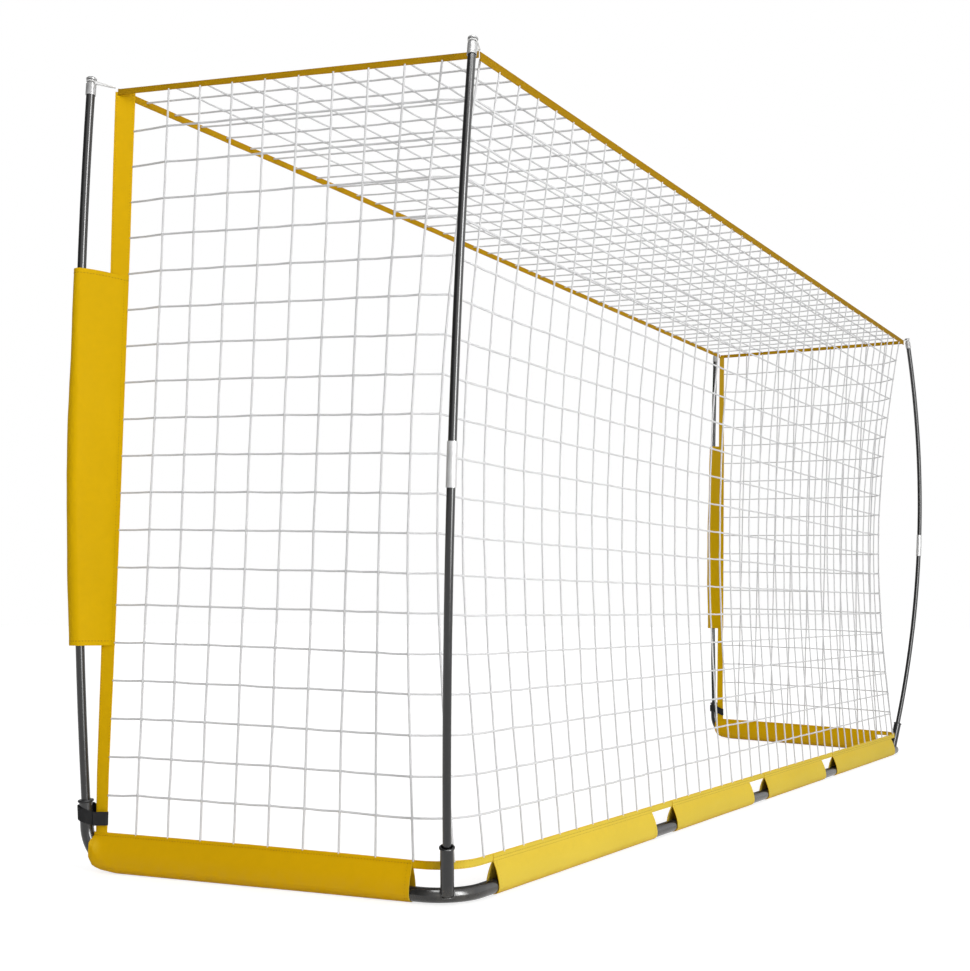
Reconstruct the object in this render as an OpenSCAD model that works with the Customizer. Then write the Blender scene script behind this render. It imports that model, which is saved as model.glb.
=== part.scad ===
// Portable knock-down football goal with bow poles, a square-mesh net and fabric sleeves.
// X runs across the mouth, +Y points to the rear, Z = 0 is the ground.

/* [Goal] */
// Width of the mouth between the net's top front corners, mm
mouth_w = 3660; // [3000:10:4400]
// Height of the net's top front corners, mm
mouth_h = 1812; // [1500:1:2200]
// Height of the net's top rear edge, mm
rear_h = 1739; // [1450:1:2120]
// Depth of the roof from front to rear, mm
roof_depth = 914; // [760:1:1100]
// Length of a base side from the virtual rear corner to the sleeve's front end, mm
side_len = 905; // [760:1:1090]
// Forward set of the base's rear edge from the roof's rear edge, mm
base_set = 70; // [40:1:110]
// Outward splay of the base sides, degrees
base_splay = 11; // [4:0.5:15]
// Outward splay of the roof sides, degrees
roof_splay = 11; // [4:0.5:15]
// Inset of the base's virtual rear corners from the mouth's corners, mm
base_inset = 205; // [170:1:240]

/* [Base tubes] */
// Outside diameter of the base tube, mm
tube_d = 30; // [26:0.5:34]
// Bore of the base tube, mm
tube_bore = 26; // [22:0.5:27]
// Centre-line radius of the rear corner bends, mm
corner_r = 100; // [80:1:120]
// Centre-line radius of the front upturns, mm
upturn_r = 85; // [70:1:95]
// Length of a joint spigot, mm
spigot_len = 100; // [70:1:130]
// Radial clearance of the spigots and buttons, mm
run_clear = 0.05; // [0.02:0.01:0.1]
// Distance of the two outer back joints from the middle, mm
joint_x = 680; // [600:5:740]
// Distance of a side joint from the rear corner, mm
side_joint = 190; // [170:5:260]
// Diameter of a snap button, mm
button_d = 8; // [6:0.5:9]
// Height of a snap button above the tube, mm
button_rise = 3; // [2:0.5:4]

/* [Poles] */
// Outside diameter of a rear pole, mm
rear_pole_d = 17.5; // [14:0.5:20]
// Outside diameter of a front pole, mm
front_pole_d = 20; // [16:0.5:22]
// Bow of a rear pole off its chord, mm
rear_bow = 100; // [60:1:130]
// Bow of a front pole off its chord, mm
front_bow = 23; // [10:1:35]
// Length of the ferrules, mm
ferrule_len = 90; // [60:1:120]
// Share of a pole's length below its joint
joint_share = 0.471; // [0.4:0.001:0.6]
// Length of the tip caps, mm
cap_len = 43; // [38:1:50]
// Depth of a pole's foot in the rear socket, mm
rear_seat = 80; // [60:1:85]
// Depth of a pole's foot in the front socket, mm
front_seat = 46; // [36:1:48]
// Outside diameter of the rear sockets, mm
socket_d = 28; // [27:0.5:30]
// Bore of the rear sockets, mm
socket_bore = 24; // [22:0.5:25]

/* [Fabric] */
// Height of the base hem above the ground, mm
hem_h = 83; // [74:1:100]
// Height of the hem strip over the notches, mm
hem_strip = 17; // [12:1:20]
// Width of a notch in the back sleeve, mm
notch_w = 126; // [100:2:140]
// Opening between the rear corner and a side sleeve, mm
corner_gap = 101; // [95:1:115]
// Opening between the rear corner and a back sleeve, mm
back_gap = 127; // [110:1:150]
// Wall of the fabric sleeves, mm
cloth = 1.2; // [1:0.1:1.6]
// Width of the side tapes, mm
side_tape = 14.5; // [10:0.5:20]
// Width of the rear tape, mm
back_tape = 16.5; // [10:0.5:20]
// Width of the crossbar tape, mm
front_tape = 10; // [8:0.5:16]
// Width of the front webbing at the top, mm
web_top = 45; // [30:1:50]
// Width of the front webbing at the base, mm
web_base = 28; // [22:1:34]
// Height of the pocket's lower end, mm
pocket_z0 = 506; // [400:1:600]
// Height of the pocket's upper end, mm
pocket_z1 = 1383; // [1100:1:1450]

/* [Net] */
// Thickness of a net string, mm
string = 3.6; // [3:0.1:5]
// Depth that the net's rear corners bow forward, mm
net_bow = 72; // [40:1:90]
// Rows of meshes up each panel
net_rows = 10; // [8:1:10]
// Columns of meshes along a side
side_cols = 5; // [4:1:5]
// Columns of meshes across the back and the roof
back_cols = 14; // [10:1:14]
// Rows of meshes along the roof
roof_rows = 4; // [3:1:4]

/* [Hidden] */
$fn = 48;

gap = 0.3;                       // free gap between soft pieces and their neighbours
tube_r = tube_d / 2;
cloth_in = tube_r + 0.6;         // inside radius of a sleeve round its tube
cloth_out = cloth_in + cloth;
flat_cut = 0.5;                  // depth of the flat on which a sleeve rests
tube_z = cloth_out - flat_cut;   // height of the tube's axis
hem_t = 2;                       // thickness of the sewn hem
tape_t = 1.6;                    // thickness of tapes and webbing
hem_low = hem_h - hem_strip;

// Vectors
function unit(v) = v / norm(v);
function lerp(p, q, t) = p + (q - p) * t;
function flip(p) = [-p[0], p[1], p[2]];

// Upper corners of the net on the +X side
top_front = [mouth_w / 2, -roof_depth, mouth_h];
top_rear = [mouth_w / 2 - roof_depth * tan(roof_splay), 0, rear_h];

// Base outline: virtual rear corner, heading of the side and its outward normal
base_w = mouth_w - 2 * base_inset;
corner = [base_w / 2, -base_set, 0];
heading = [sin(base_splay), -cos(base_splay), 0];
outward = [cos(base_splay), sin(base_splay), 0];
turn = 90 - base_splay;
tangent_len = corner_r * tan(turn / 2);
arc_centre = corner + [-tangent_len, -corner_r, 0];
function side_at(t, n = 0, z = 0) = corner + heading * t + outward * n + [0, 0, z];

// Front upturn: it leans forward and outward, to follow the pole
upturn_reach = 11;               // the upturn's foot stands ahead of the sleeve's front end
bow_lean = 2.4360349;            // the bow's share of the lean and of the roll
bow_roll = 1.2469575;
socket_z = 153;
upturn_start = side_len + upturn_reach - upturn_r;
front_tip = top_front + [42, -43, -17];
front_run = front_tip - side_at(side_len + upturn_reach, 0, socket_z);
lean = bow_lean + atan2(front_run * heading, front_run[2]);
roll = bow_roll + atan2(front_run * outward, front_run[2]);

// Frame [origin, x, y, z] of the front socket, z along the pole
up_x = -(cos(lean) * heading + sin(lean) * (-sin(roll) * outward + [0, 0, -cos(roll)]));
up_z = unit(sin(lean) * heading + cos(lean) * (sin(roll) * outward + [0, 0, cos(roll)]));
bend = 90 - lean;
roll_up = [0, 0, cos(roll)] + sin(roll) * outward;
bend_end = side_at(upturn_start, 0, tube_z) + heading * upturn_r * sin(bend)
    + roll_up * upturn_r * (1 - cos(bend));
upright_len = (socket_z - bend_end[2]) / up_z[2];
front_rim = bend_end + up_z * upright_len;

// Rear socket
rear_rim = [corner[0] + 25, corner[1] - 10, 119];

// Tips of the pole arcs
rear_tip = top_rear + [42, 7, -22];

// A bowed pole: [rim, tip, sagitta, bow direction] -> frame and arc
function bow_dir(u, b) = unit(b - (b * u) * u);
function arc_of(rim, tip, sag, b) =
    let (len = norm(tip - rim), u = (tip - rim) / len, w = bow_dir(u, b),
         r = len * len / (8 * sag) + sag / 2, half = asin(len / 2 / r),
         a = u * cos(half) + w * sin(half), c = u * sin(half) - w * cos(half))
    [rim, c, a, r, 2 * half];
rear_arc = arc_of(rear_rim, rear_tip, rear_bow, [0.894, 0.447, 0]);
front_arc = arc_of(front_rim, front_tip, front_bow, [0.65, -0.76, 0]);
function arc_point(A, ang) = A[0] + A[2] * A[3] * sin(ang) + A[1] * A[3] * (1 - cos(ang));
function arc_along(A, ang) = A[2] * cos(ang) + A[1] * sin(ang);
function angle_at_z(A, z, lo = 0, hi = 90, k = 24) =
    k == 0 ? (lo + hi) / 2 :
    let (m = (lo + hi) / 2) arc_point(A, m)[2] < z ? angle_at_z(A, z, m, hi, k - 1)
                                                  : angle_at_z(A, z, lo, m, k - 1);

// The origin stands under the middle of the goal's box
steps = [for (i = [0:60]) i / 60];
pocket_r = front_pole_d / 2 + 9.5;
y_back = max([for (t = steps) arc_point(rear_arc, t * rear_arc[4])[1]]) + rear_pole_d / 2;
y_front = min([for (t = steps) arc_point(front_arc, angle_at_z(front_arc, lerp(pocket_z0, pocket_z1, t)))[1]])
    - pocket_r - cloth;
y_mid = (y_back + y_front) / 2;

// Placing
module frame_at(o, x, z) {
    y = cross(z, x);
    multmatrix([[x[0], y[0], z[0], o[0]], [x[1], y[1], z[1], o[1]], [x[2], y[2], z[2], o[2]], [0, 0, 0, 1]])
        children();
}
module placed(left) {
    translate([0, -y_mid, 0]) mirror([left ? 1 : 0, 0, 0]) children();
}
module on_side(t, n = 0, z = 0) {
    frame_at(side_at(t, n, z), outward, heading) children();
}
// Ring arc from the origin along +Z, curving to +X
module ring_arc(r, ang) {
    multmatrix([[-1, 0, 0, r], [0, 0, 1, 0], [0, 1, 0, 0], [0, 0, 0, 1]])
        rotate_extrude(angle = ang, $fn = 96) translate([r, 0]) children();
}
module ring_end(r, ang) {
    translate([r * (1 - cos(ang)), 0, r * sin(ang)]) rotate([0, ang, 0]) children();
}
// Box strip between two points, with its width along w
module strip(p, q, w, width, thick) {
    z = unit(q - p);
    x = unit(w - (w * z) * z);
    frame_at(p, x, z) translate([0, -thick / 2, 0]) cube([width, thick, norm(q - p)]);
}

// Outline of a belt round two circles
function belt(p, r, q, s, n = 24, m = 6) =
    let (d = q - p, a = atan2(d[1], d[0]), b = acos((r - s) / norm(d)))
    concat([for (i = [0:n]) let (t = a + b + i * (360 - 2 * b) / n) p + r * [cos(t), sin(t)]],
           [for (i = [0:m]) let (t = a - b + i * 2 * b / m) q + s * [cos(t), sin(t)]]);

// Closed or open tube swept along points, ring normals held near a guide direction
module cord(path, r, guide, sides = 8) {
    n = len(path);
    pts = [for (i = [0:n - 1]) let (t = unit(path[(i + 1) % n] - path[(i + n - 1) % n]),
               u = unit(guide - (guide * t) * t), v = cross(t, u))
           for (k = [0:sides - 1]) path[i] + r * (u * cos(k * 360 / sides) + v * sin(k * 360 / sides))];
    polyhedron(pts, [for (i = [0:n - 1]) for (k = [0:sides - 1])
        let (a = i * sides + k, b = i * sides + (k + 1) % sides,
             c = ((i + 1) % n) * sides + (k + 1) % sides, d = ((i + 1) % n) * sides + k)
        each [[a, d, c], [a, c, b]]]);
}

// A net: grid points joined by flat strings, with one hole in each mesh
function hole_corner(p, a, b, w) = p + w / 2 * (unit(a - p) + unit(b - p));
module lattice(g, nrm, w = string) {
    m = len(g) - 1;
    n = len(g[0]) - 1;
    up = nrm * w / 2;
    nodes = [for (i = [0:m]) for (j = [0:n]) g[i][j]];
    holes = [for (i = [0:m - 1]) for (j = [0:n - 1])
        let (c = [g[i][j], g[i + 1][j], g[i + 1][j + 1], g[i][j + 1]])
        for (k = [0:3]) hole_corner(c[k], c[(k + 1) % 4], c[(k + 3) % 4], w)];
    nn = len(nodes);
    nh = len(holes);
    pts = concat([for (p = nodes) p + up], [for (p = nodes) p - up],
                 [for (p = holes) p + up], [for (p = holes) p - up]);
    quads = [for (i = [0:m - 1]) for (j = [0:n - 1])
        let (c = [i * (n + 1) + j, (i + 1) * (n + 1) + j, (i + 1) * (n + 1) + j + 1, i * (n + 1) + j + 1],
             h = 2 * nn + (i * n + j) * 4)
        for (k = [0:3]) let (l = (k + 1) % 4)
        each concat([[c[k], c[l], h + l, h + k],
              [c[k] + nn, h + k + nh, h + l + nh, c[l] + nn],
              [h + k, h + l, h + l + nh, h + k + nh]],
             (k == 0 && j == 0) || (k == 1 && i == m - 1) || (k == 2 && j == n - 1) || (k == 3 && i == 0)
             ? [[c[l], c[k], c[k] + nn, c[l] + nn]] : [])];
    polyhedron(pts, [for (q = quads) each [[q[2], q[1], q[0]], [q[3], q[2], q[0]]]]);
}

// Base frame ---------------------------------------------------------------

module bore_at(len) translate([0, 0, -gap]) cylinder(d = tube_bore, h = len);

// Straight length of base tube from its joint end, with the spigot's bore and a button hole;
// it runs on a little over the bend, which is a hair thinner
bend_thin = 0.05;
bend_lap = 1;
module joint_leg(len, hole = undef) {
    difference() {
        cylinder(d = tube_d, h = len + bend_lap);
        bore_at(spigot_len / 2 + 2);
        if (hole != undef) translate([0, 0, button_x]) rotate(hole) rotate([0, 90, 0])
            cylinder(d = button_d + 2 * run_clear, h = tube_d);
    }
}

// Side of the base with its upturned front socket
module side_tube() {
    leg = upturn_start - side_joint;
    frame_at(side_at(upturn_start, 0, tube_z), roll_up, heading) {
        translate([0, 0, -leg]) joint_leg(leg, 0);
        ring_arc(upturn_r, bend) circle(r = tube_r - bend_thin);
        ring_end(upturn_r, bend) difference() {
            translate([0, 0, -bend_lap]) cylinder(d = tube_d, h = upright_len + bend_lap);
            translate([0, 0, upright_len - front_seat - gap])
                cylinder(d = tube_bore, h = front_seat + 1);
        }
    }
}

// Rear corner: short side leg, bend and back leg up to the outer joint
module corner_tube() {
    side_leg = side_joint - tangent_len;
    back_leg = arc_centre[0] - joint_x;
    frame_at([arc_centre[0], corner[1], tube_z], [0, -1, 0], [1, 0, 0]) {
        translate([0, 0, -back_leg]) joint_leg(back_leg);
        ring_arc(corner_r, turn) circle(r = tube_r - bend_thin);
        ring_end(corner_r, turn) translate([0, 0, side_leg]) mirror([0, 0, 1]) joint_leg(side_leg);
    }
}

// Inner back tube from an outer joint to the middle
module back_tube(right) {
    difference() {
        frame_at([0, corner[1], tube_z], [0, 0, 1], [1, 0, 0]) cylinder(d = tube_d, h = joint_x);
        for (x = [0, joint_x])
            frame_at([x, corner[1], tube_z], [0, 0, 1], [x == 0 ? 1 : -1, 0, 0])
                bore_at(spigot_len / 2 + 2);
        for (x = right ? [button_x, joint_x - button_x] : [joint_x - button_x])
            translate([x, corner[1], tube_z]) rotate([90, 0, 0])
                cylinder(d = button_d + 2 * run_clear, h = tube_d);
    }
}
button_x = spigot_len / 4;

// Spigot with the hole for its button
module spigot() {
    difference() {
        translate([0, 0, -spigot_len / 2]) cylinder(d = tube_bore - 2 * run_clear, h = spigot_len);
        translate([0, 0, -spigot_len / 2 - 1]) cylinder(d = spigot_bore, h = spigot_len + 2);
        translate([0, 0, button_x]) rotate([0, 90, 0])
            cylinder(d = button_d + 2 * run_clear, h = tube_d);
    }
}
spigot_bore = tube_bore - 4.1;
module joint_spigots() {
    color([0.55, 0.56, 0.58]) {
        for (left = [false, true]) {
            placed(left) frame_at([joint_x, corner[1], tube_z], [0, -1, 0], [-1, 0, 0]) spigot();
            placed(left) frame_at(side_at(side_joint, 0, tube_z), roll_up, heading) spigot();
        }
        placed(false) frame_at([0, corner[1], tube_z], [0, -1, 0], [1, 0, 0]) spigot();
    }
}

// Snap button with its leaf, pointing along +X of its frame
button_foot = sqrt(pow(spigot_bore / 2, 2) - pow(button_d / 2 + 1.5, 2)) - gap;
module snap_button() {
    leaf_t = 1;
    color([0.78, 0.79, 0.8]) translate([0, 0, button_x]) {
        rotate([0, 90, 0]) {
            translate([0, 0, button_foot - leaf_t])
                cylinder(d = button_d, h = tube_r + button_rise - 1 - button_foot + leaf_t);
            translate([0, 0, tube_r + button_rise - 1]) cylinder(d = button_d - 2, h = 1);
            translate([0, 0, button_foot - leaf_t]) cylinder(d = button_d + 3, h = leaf_t);
        }
        translate([button_foot - 2 * leaf_t, -button_d / 2, -button_x - spigot_len / 4])
            cube([leaf_t, button_d, button_x + spigot_len / 4 + button_d / 2]);
    }
}
module back_button(x, left) placed(left)
    frame_at([x, corner[1], tube_z], [0, -1, 0], [x > 0 ? -1 : 1, 0, 0]) snap_button();
module side_button(left) placed(left)
    frame_at(side_at(side_joint, 0, tube_z), roll_up, heading) snap_button();

// Rear socket with a rolled lip, saddled on the corner bend
module rear_socket() {
    lip = 2.4;
    depth = rear_seat + 22;
    difference() {
        frame_at(rear_arc[0], rear_arc[1], rear_arc[2]) {
            translate([0, 0, -depth]) cylinder(d = socket_d, h = depth);
            rotate_extrude() translate([socket_d / 2 - 0.2, -lip]) circle(r = lip);
        }
        frame_at(rear_arc[0], rear_arc[1], rear_arc[2])
            translate([0, 0, -rear_seat - gap]) cylinder(d = socket_bore, h = depth);
        frame_at(side_at(tangent_len, 0, tube_z), -outward, -heading) ring_arc(corner_r, turn)
            circle(d = tube_d);
        translate([rear_rim[0] - tube_d * 3, rear_rim[1] - tube_d * 3, -tube_d + 2])
            cube([tube_d * 6, tube_d * 6, tube_d]);
    }
}

// Bush with a rounded lip in the mouth of a front socket
collar_depth = 24;
module front_collar() {
    lip = 3;
    difference() {
        frame_at(front_rim, up_x, up_z) {
            translate([0, 0, -collar_depth]) cylinder(d = tube_bore - 2 * run_clear, h = collar_depth);
            rotate_extrude() translate([tube_r - 0.2, lip]) circle(r = lip);
            cylinder(r = tube_r - 0.2, h = 2 * lip);
        }
        frame_at(front_arc[0], front_arc[1], front_arc[2]) translate([0, 0, -collar_depth - 5])
            cylinder(d = front_pole_d + 2 * run_clear, h = collar_depth + 20);
    }
}

// Poles --------------------------------------------------------------------

crown_len = 16;                  // length of a cap's neck and crown
tip_cover = cap_len - crown_len - 4;   // length of the pole's tip inside its cap
function cover_angle(A) = tip_cover / A[3] * 180 / PI;
module pole_lower(A, d, seat) {
    frame_at(A[0], A[1], A[2]) {
        translate([0, 0, -seat]) cylinder(d = d, h = seat);
        ring_arc(A[3], A[4] * joint_share) circle(d = d);
    }
}
module pole_upper(A, d) {
    a0 = A[4] * joint_share;
    frame_at(arc_point(A, a0), cross(arc_side(A), arc_along(A, a0)), arc_along(A, a0))
        ring_arc(A[3], A[4] + cover_angle(A) - a0) circle(d = d);
}
function arc_side(A) = cross(A[2], A[1]);
function tip_dir(A) = arc_along(A, A[4] + cover_angle(A) / 2);
function tip_base(A) = arc_point(A, A[4] + cover_angle(A) / 2) - tip_dir(A) * tip_cover / 2;
module at_tip(A) {
    frame_at(tip_base(A), cross(arc_side(A), tip_dir(A)), tip_dir(A)) children();
}
module ferrule(A, d) {
    span = ferrule_len / A[3] * 180 / PI;
    a0 = A[4] * joint_share - span / 2;
    frame_at(arc_point(A, a0), cross(arc_side(A), arc_along(A, a0)), arc_along(A, a0))
        ring_arc(A[3], span) difference() {
            circle(d = d + 3.5);
            circle(d = d + 2 * run_clear);
        }
}

// Tip cap with a neck for the cord and a crown
neck_z = 6;                       // height of the neck's middle over the skirt
module cap(A, d) {
    skirt = cap_len - crown_len;
    at_tip(A) difference() {
        union() {
            cylinder(d = d + 3.5, h = skirt);
            translate([0, 0, skirt]) cylinder(d = neck_d(d), h = 12);
            translate([0, 0, skirt + 10]) cylinder(d = d + 4.5, h = 3);
            translate([0, 0, skirt + 13]) cylinder(d1 = d + 4.5, d2 = d - 2, h = 3);
        }
        translate([0, 0, -1]) cylinder(d = d + 2 * run_clear, h = tip_cover + 1 + gap);
    }
}
function neck_d(d) = d - 3;

// Cord loop from the cap's neck to the net's corner
cord_r = 1.5;
function loop_ends(A, d, target) =
    let (z = tip_dir(A), p = tip_base(A) + z * (cap_len - crown_len + neck_z),
         dir = unit(target - p), r = neck_d(d) / 2 + cord_r + gap)
    [p, target - dir * (2 * cord_r + 3.6), unit(dir - (dir * z) * z), z, r];
module cord_loop(A, d, target) {
    e = loop_ends(A, d, target);
    span = e[1] - e[0];
    flat = span - (span * e[3]) * e[3];
    rise = (span * e[3]) / norm(flat);
    y = cross(e[3], e[2]);
    path = [for (p = belt([0, 0], e[4], [norm(flat), 0], 2.2, 14, 6))
        e[0] + e[2] * p[0] + y * p[1] + e[3] * rise * max(0, p[0] - e[4])];
    cord(path, cord_r, e[3]);
}

// Fabric -------------------------------------------------------------------

module hem_teardrop(top) {
    intersection() {
        difference() {
            polygon(belt([0, tube_z], cloth_out, [0, top - hem_t / 2], hem_t / 2));
            polygon(belt([0, tube_z], cloth_in, [0, top - hem_seam], 0.3));
        }
        translate([-tube_d, 0]) square([2 * tube_d, hem_h + 1]);
    }
}

// Back sleeve between two X stations
module back_sleeve(x0, x1) {
    frame_at([x0, corner[1], 0], [0, 1, 0], [1, 0, 0])
        linear_extrude(x1 - x0) hem_teardrop(hem_low - gap);
}
back_end = corner[0] - back_gap;
half_notch = notch_w / 2;
sleeve_x = [[-back_end, -joint_x - half_notch], [-joint_x + half_notch, -half_notch],
            [half_notch, joint_x - half_notch], [joint_x + half_notch, back_end]];

module back_hem() {
    translate([-back_end, corner[1] - hem_t / 2, hem_low]) cube([2 * back_end, hem_t, hem_strip]);
}
module corner_hem() {
    back_run = arc_centre[0] - back_end - gap;
    side_run = corner_gap - gap - tangent_len;
    translate(arc_centre + [0, 0, hem_low]) {
        translate([-back_run, corner_r - hem_t / 2, 0]) cube([back_run + bend_lap, hem_t, hem_strip]);
        rotate([0, 0, base_splay]) {
            rotate_extrude(angle = turn, $fn = 96) translate([corner_r - hem_t / 2 + bend_thin, bend_thin])
                square([hem_t - 2 * bend_thin, hem_strip - 2 * bend_thin]);
            translate([corner_r - hem_t / 2, -side_run, 0])
                cube([hem_t, side_run + bend_lap, hem_strip]);
        }
    }
}

// Side sleeve: a drop-shaped run and a boot round the upturn
boot_lead = 4;                   // straight length of the boot before the bend
boot_start = upturn_start - boot_lead;
boot_end = 55;                   // angle of the bend up to which the boot reaches
boot_clear = 0.75720;            // from the boot's slanted front to the tube behind the seam
hem_seam = 9;                    // depth of the seam below the hem's top
boot_foot = [boot_lead + (upturn_r + cloth_out) * sin(boot_end),
    tube_z + upturn_r - (upturn_r + cloth_out) * cos(boot_end)];
boot_seam = [boot_lead - boot_clear + sqrt(pow(upturn_r - tube_r, 2) - pow(upturn_r + tube_z - hem_h + hem_seam, 2)),
    hem_h - hem_seam];
boot_top = boot_seam[0] + (boot_seam[0] - boot_foot[0]) * hem_seam / (boot_seam[1] - boot_foot[1]);
module boot_block(r, top, run, last) {
    ro = upturn_r + r;
    back = top == hem_h ? 0 : -1;
    wide = (hem_h - tube_z) * sin(roll);
    translate([r + wide, 0, 0]) rotate([0, -90, 0]) linear_extrude(2 * r + wide) polygon(concat(
        [[back, tube_z - r], [boot_lead, tube_z - r]],
        [for (a = [5:5:last]) [boot_lead + ro * sin(a), tube_z + upturn_r - ro * cos(a)]],
        [[run, top], [back, top]]));
}
module side_sleeve() {
    run = boot_start - corner_gap;
    on_side(boot_start) {
        translate([0, 0, -run]) linear_extrude(run) hem_teardrop(hem_h);
        difference() {
            boot_block(cloth_out, hem_h, boot_top, boot_end);
            boot_block(cloth_in, hem_h - hem_seam, boot_top + 18, boot_end + 10);
            translate([-tube_d, -tube_d, -tube_d]) cube([3 * tube_d, tube_d, 2 * side_len]);
        }
    }
}

// Tapes along the top edges; each hangs below its edge line
down = [0, 0, -1];
tape_dir = unit(top_front - top_rear);
module side_tape() {
    strip(top_rear + tape_dir * 3, top_front - tape_dir * 3, down, side_tape, tape_t);
}
module back_tape() {
    x = top_rear[0] - tape_t - gap;
    strip([-x, -tape_t, rear_h], [x, -tape_t, rear_h], down, back_tape, tape_t);
}
module crossbar_tape() {
    x = top_front[0] - tape_t * 2 - gap;
    strip([-x, top_front[1], mouth_h], [x, top_front[1], mouth_h], down, front_tape, tape_t);
}

// Front webbing: a flat strip from the hem to the roof that twists a quarter turn
web_dir = unit([-0.66, 0.75, 0]);
web_t1 = side_len + upturn_reach - tube_r - 3;
web_t0 = web_t1 - web_base;
web_z0 = hem_h + gap;
web_z1 = mouth_h - side_tape - gap;
function web_edge(k, z) =
    let (t = (z - web_z0) / (web_z1 - web_z0), top = [top_front[0], top_front[1], web_z1] + web_dir * (k ? 8 + web_top : 8))
    lerp(side_at(k ? web_t0 : web_t1, 0, web_z0), top, t);
module front_webbing() {
    zs = [for (i = [0:12]) lerp(web_z0, web_z1, i / 12)];
    pts = [for (z = zs) let (a = web_edge(false, z), b = web_edge(true, z),
               n = unit(cross(b - a, [0, 0, 1])) * tape_t / 2)
           each [a + n, b + n, b - n, a - n]];
    quads = [for (i = [0:11]) for (k = [0:3]) let (l = (k + 1) % 4) [4 * i + k, 4 * i + l, 4 * i + 4 + l, 4 * i + 4 + k]];
    polyhedron(pts, concat([for (q = quads) each [[q[0], q[2], q[1]], [q[0], q[3], q[2]]]],
        [[0, 1, 2], [0, 2, 3]], [for (f = [[0, 2, 1], [0, 3, 2]]) [for (k = f) 48 + k]]));
}

// Pocket that wraps a front pole and closes on the webbing
function pocket_ring(z, r, back, s) =
    let (a = angle_at_z(front_arc, z), p = arc_point(front_arc, a), q = web_edge(false, z),
         d = unit([q[0] - p[0], q[1] - p[1]]))
    [for (v = belt([p[0], p[1]], r, [q[0], q[1]] - d * back, s, 18, 4)) [v[0], v[1], z]];
module pocket_solid(r, back, s, z0, z1) {
    n = 8;
    rings = [for (i = [0:n]) pocket_ring(lerp(z0, z1, i / n), r, back, s)];
    m = len(rings[0]);
    pts = [for (g = rings) each g];
    polyhedron(pts, concat([for (i = [0:n - 1]) for (k = [0:m - 1]) let (l = (k + 1) % m)
        each [[i * m + k, (i + 1) * m + l, i * m + l], [i * m + k, (i + 1) * m + k, (i + 1) * m + l]]],
        [[for (k = [0:m - 1]) k]], [[for (k = [0:m - 1]) n * m + m - 1 - k]]));
}
module pole_pocket() {
    difference() {
        pocket_solid(pocket_r + cloth, gap + 1, 1, pocket_z0, pocket_z1);
        pocket_solid(pocket_r, 6, 0.3, pocket_z0 - 1, pocket_z1 + 1);
    }
}

// Hook-and-loop strap round the upturn and the webbing
strap_z = [117, 147];
strap_t = 1.5;
strap_slack = 0.206930;           // least gap to the leaning tube at the strap's edges
module strap() {
    mid = (strap_z[0] + strap_z[1]) / 2;
    inner = tube_r + strap_slack + (strap_z[1] - mid) * norm([up_z[0], up_z[1]]) / up_z[2];
    axis = front_rim - up_z * (socket_z - mid) / up_z[2];
    web = web_edge(true, mid);
    p = [axis[0], axis[1]];
    q = [web[0], web[1]] + unit([web[0], web[1]] - p) * 2.5;
    translate([0, 0, strap_z[0]]) linear_extrude(strap_z[1] - strap_z[0]) difference() {
        polygon(belt(p, inner + strap_t, q, 4));
        polygon(belt(p, inner, q, 4 - strap_t));
    }
}

// Net ----------------------------------------------------------------------

net_z0 = hem_h + gap;
corner_pull = 5.5;               // how soon the bow fades along a side
back_pull = 0.8;                 // how much it fades across the back
function swell(t) = net_bow * sin(180 * t);
tangent_share = tangent_len / web_t0;
side_u = concat([0, tangent_share], [for (i = [1:side_cols - 1]) lerp(tangent_share, 1, i / (side_cols - 1))]);
// Rear corner column: the bend's apex at the hem, a rounded corner under the roof
corner_low = arc_centre + corner_r * [cos(45 + base_splay / 2), sin(45 + base_splay / 2), 0] + [0, 0, net_z0];
function corner_column(t) =
    lerp(corner_low, top_rear + [-22, -15, -back_tape - gap], t) - [0, swell(t), 0];
function side_top(u) =
    let (a = lerp(top_rear, top_front, u * 0.94)) a + [0, 0, -side_tape - gap];
function side_point(u, t) =
    u == 0 ? corner_column(t) - [0, string / 2 + 2 * gap, 0] :
    u == 1 ? web_edge(true, lerp(net_z0, web_z1, t)) + [0, gap + tape_t / 2, 0] :
    lerp(side_at(web_t0 * u, 0, net_z0), side_top(u), t) - [0, swell(t) * exp(-pow(corner_pull * u, 1.3)), 0];
module side_net() {
    lattice([for (u = side_u) [for (j = [0:net_rows]) side_point(u, j / net_rows)]], -outward);
}
back_x = concat([-corner_low[0]], [for (i = [0:back_cols - 2]) lerp(-arc_centre[0], arc_centre[0], i / (back_cols - 2))],
                [corner_low[0]]);
function cosh(x) = (exp(x) + exp(-x)) / 2;
function back_point(x, t) =
    abs(x) > arc_centre[0] ? (x > 0 ? corner_column(t) : flip(corner_column(t))) - [sign(x), 0, 0] :
    let (f = cosh(back_pull * x / corner_low[0]) / cosh(back_pull), w = lerp(1, top_rear[0] / corner[0], t))
    [x * w, lerp(corner[1], -tape_t, t) - swell(t) * f, lerp(net_z0, rear_h - back_tape - gap, t)];
module back_net() {
    lattice([for (x = back_x) [for (j = [0:net_rows]) back_point(x, j / net_rows)]], [0, -1, 0]);
}
roof_inset = tape_t / 2 + gap;
function roof_point(a, v) =
    let (w = lerp(top_front[0], top_rear[0], v) - roof_inset / cos(roof_splay))
    [a * w, lerp(top_front[1] + roof_inset, -roof_inset - tape_t, v),
     lerp(mouth_h, rear_h, v) - string / 2];
module roof_net() {
    lattice([for (i = [0:back_cols]) [for (j = [0:roof_rows])
        roof_point(2 * i / back_cols - 1, j / roof_rows)]], [0, 0, 1]);
}

// Nodes --------------------------------------------------------------------

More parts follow.
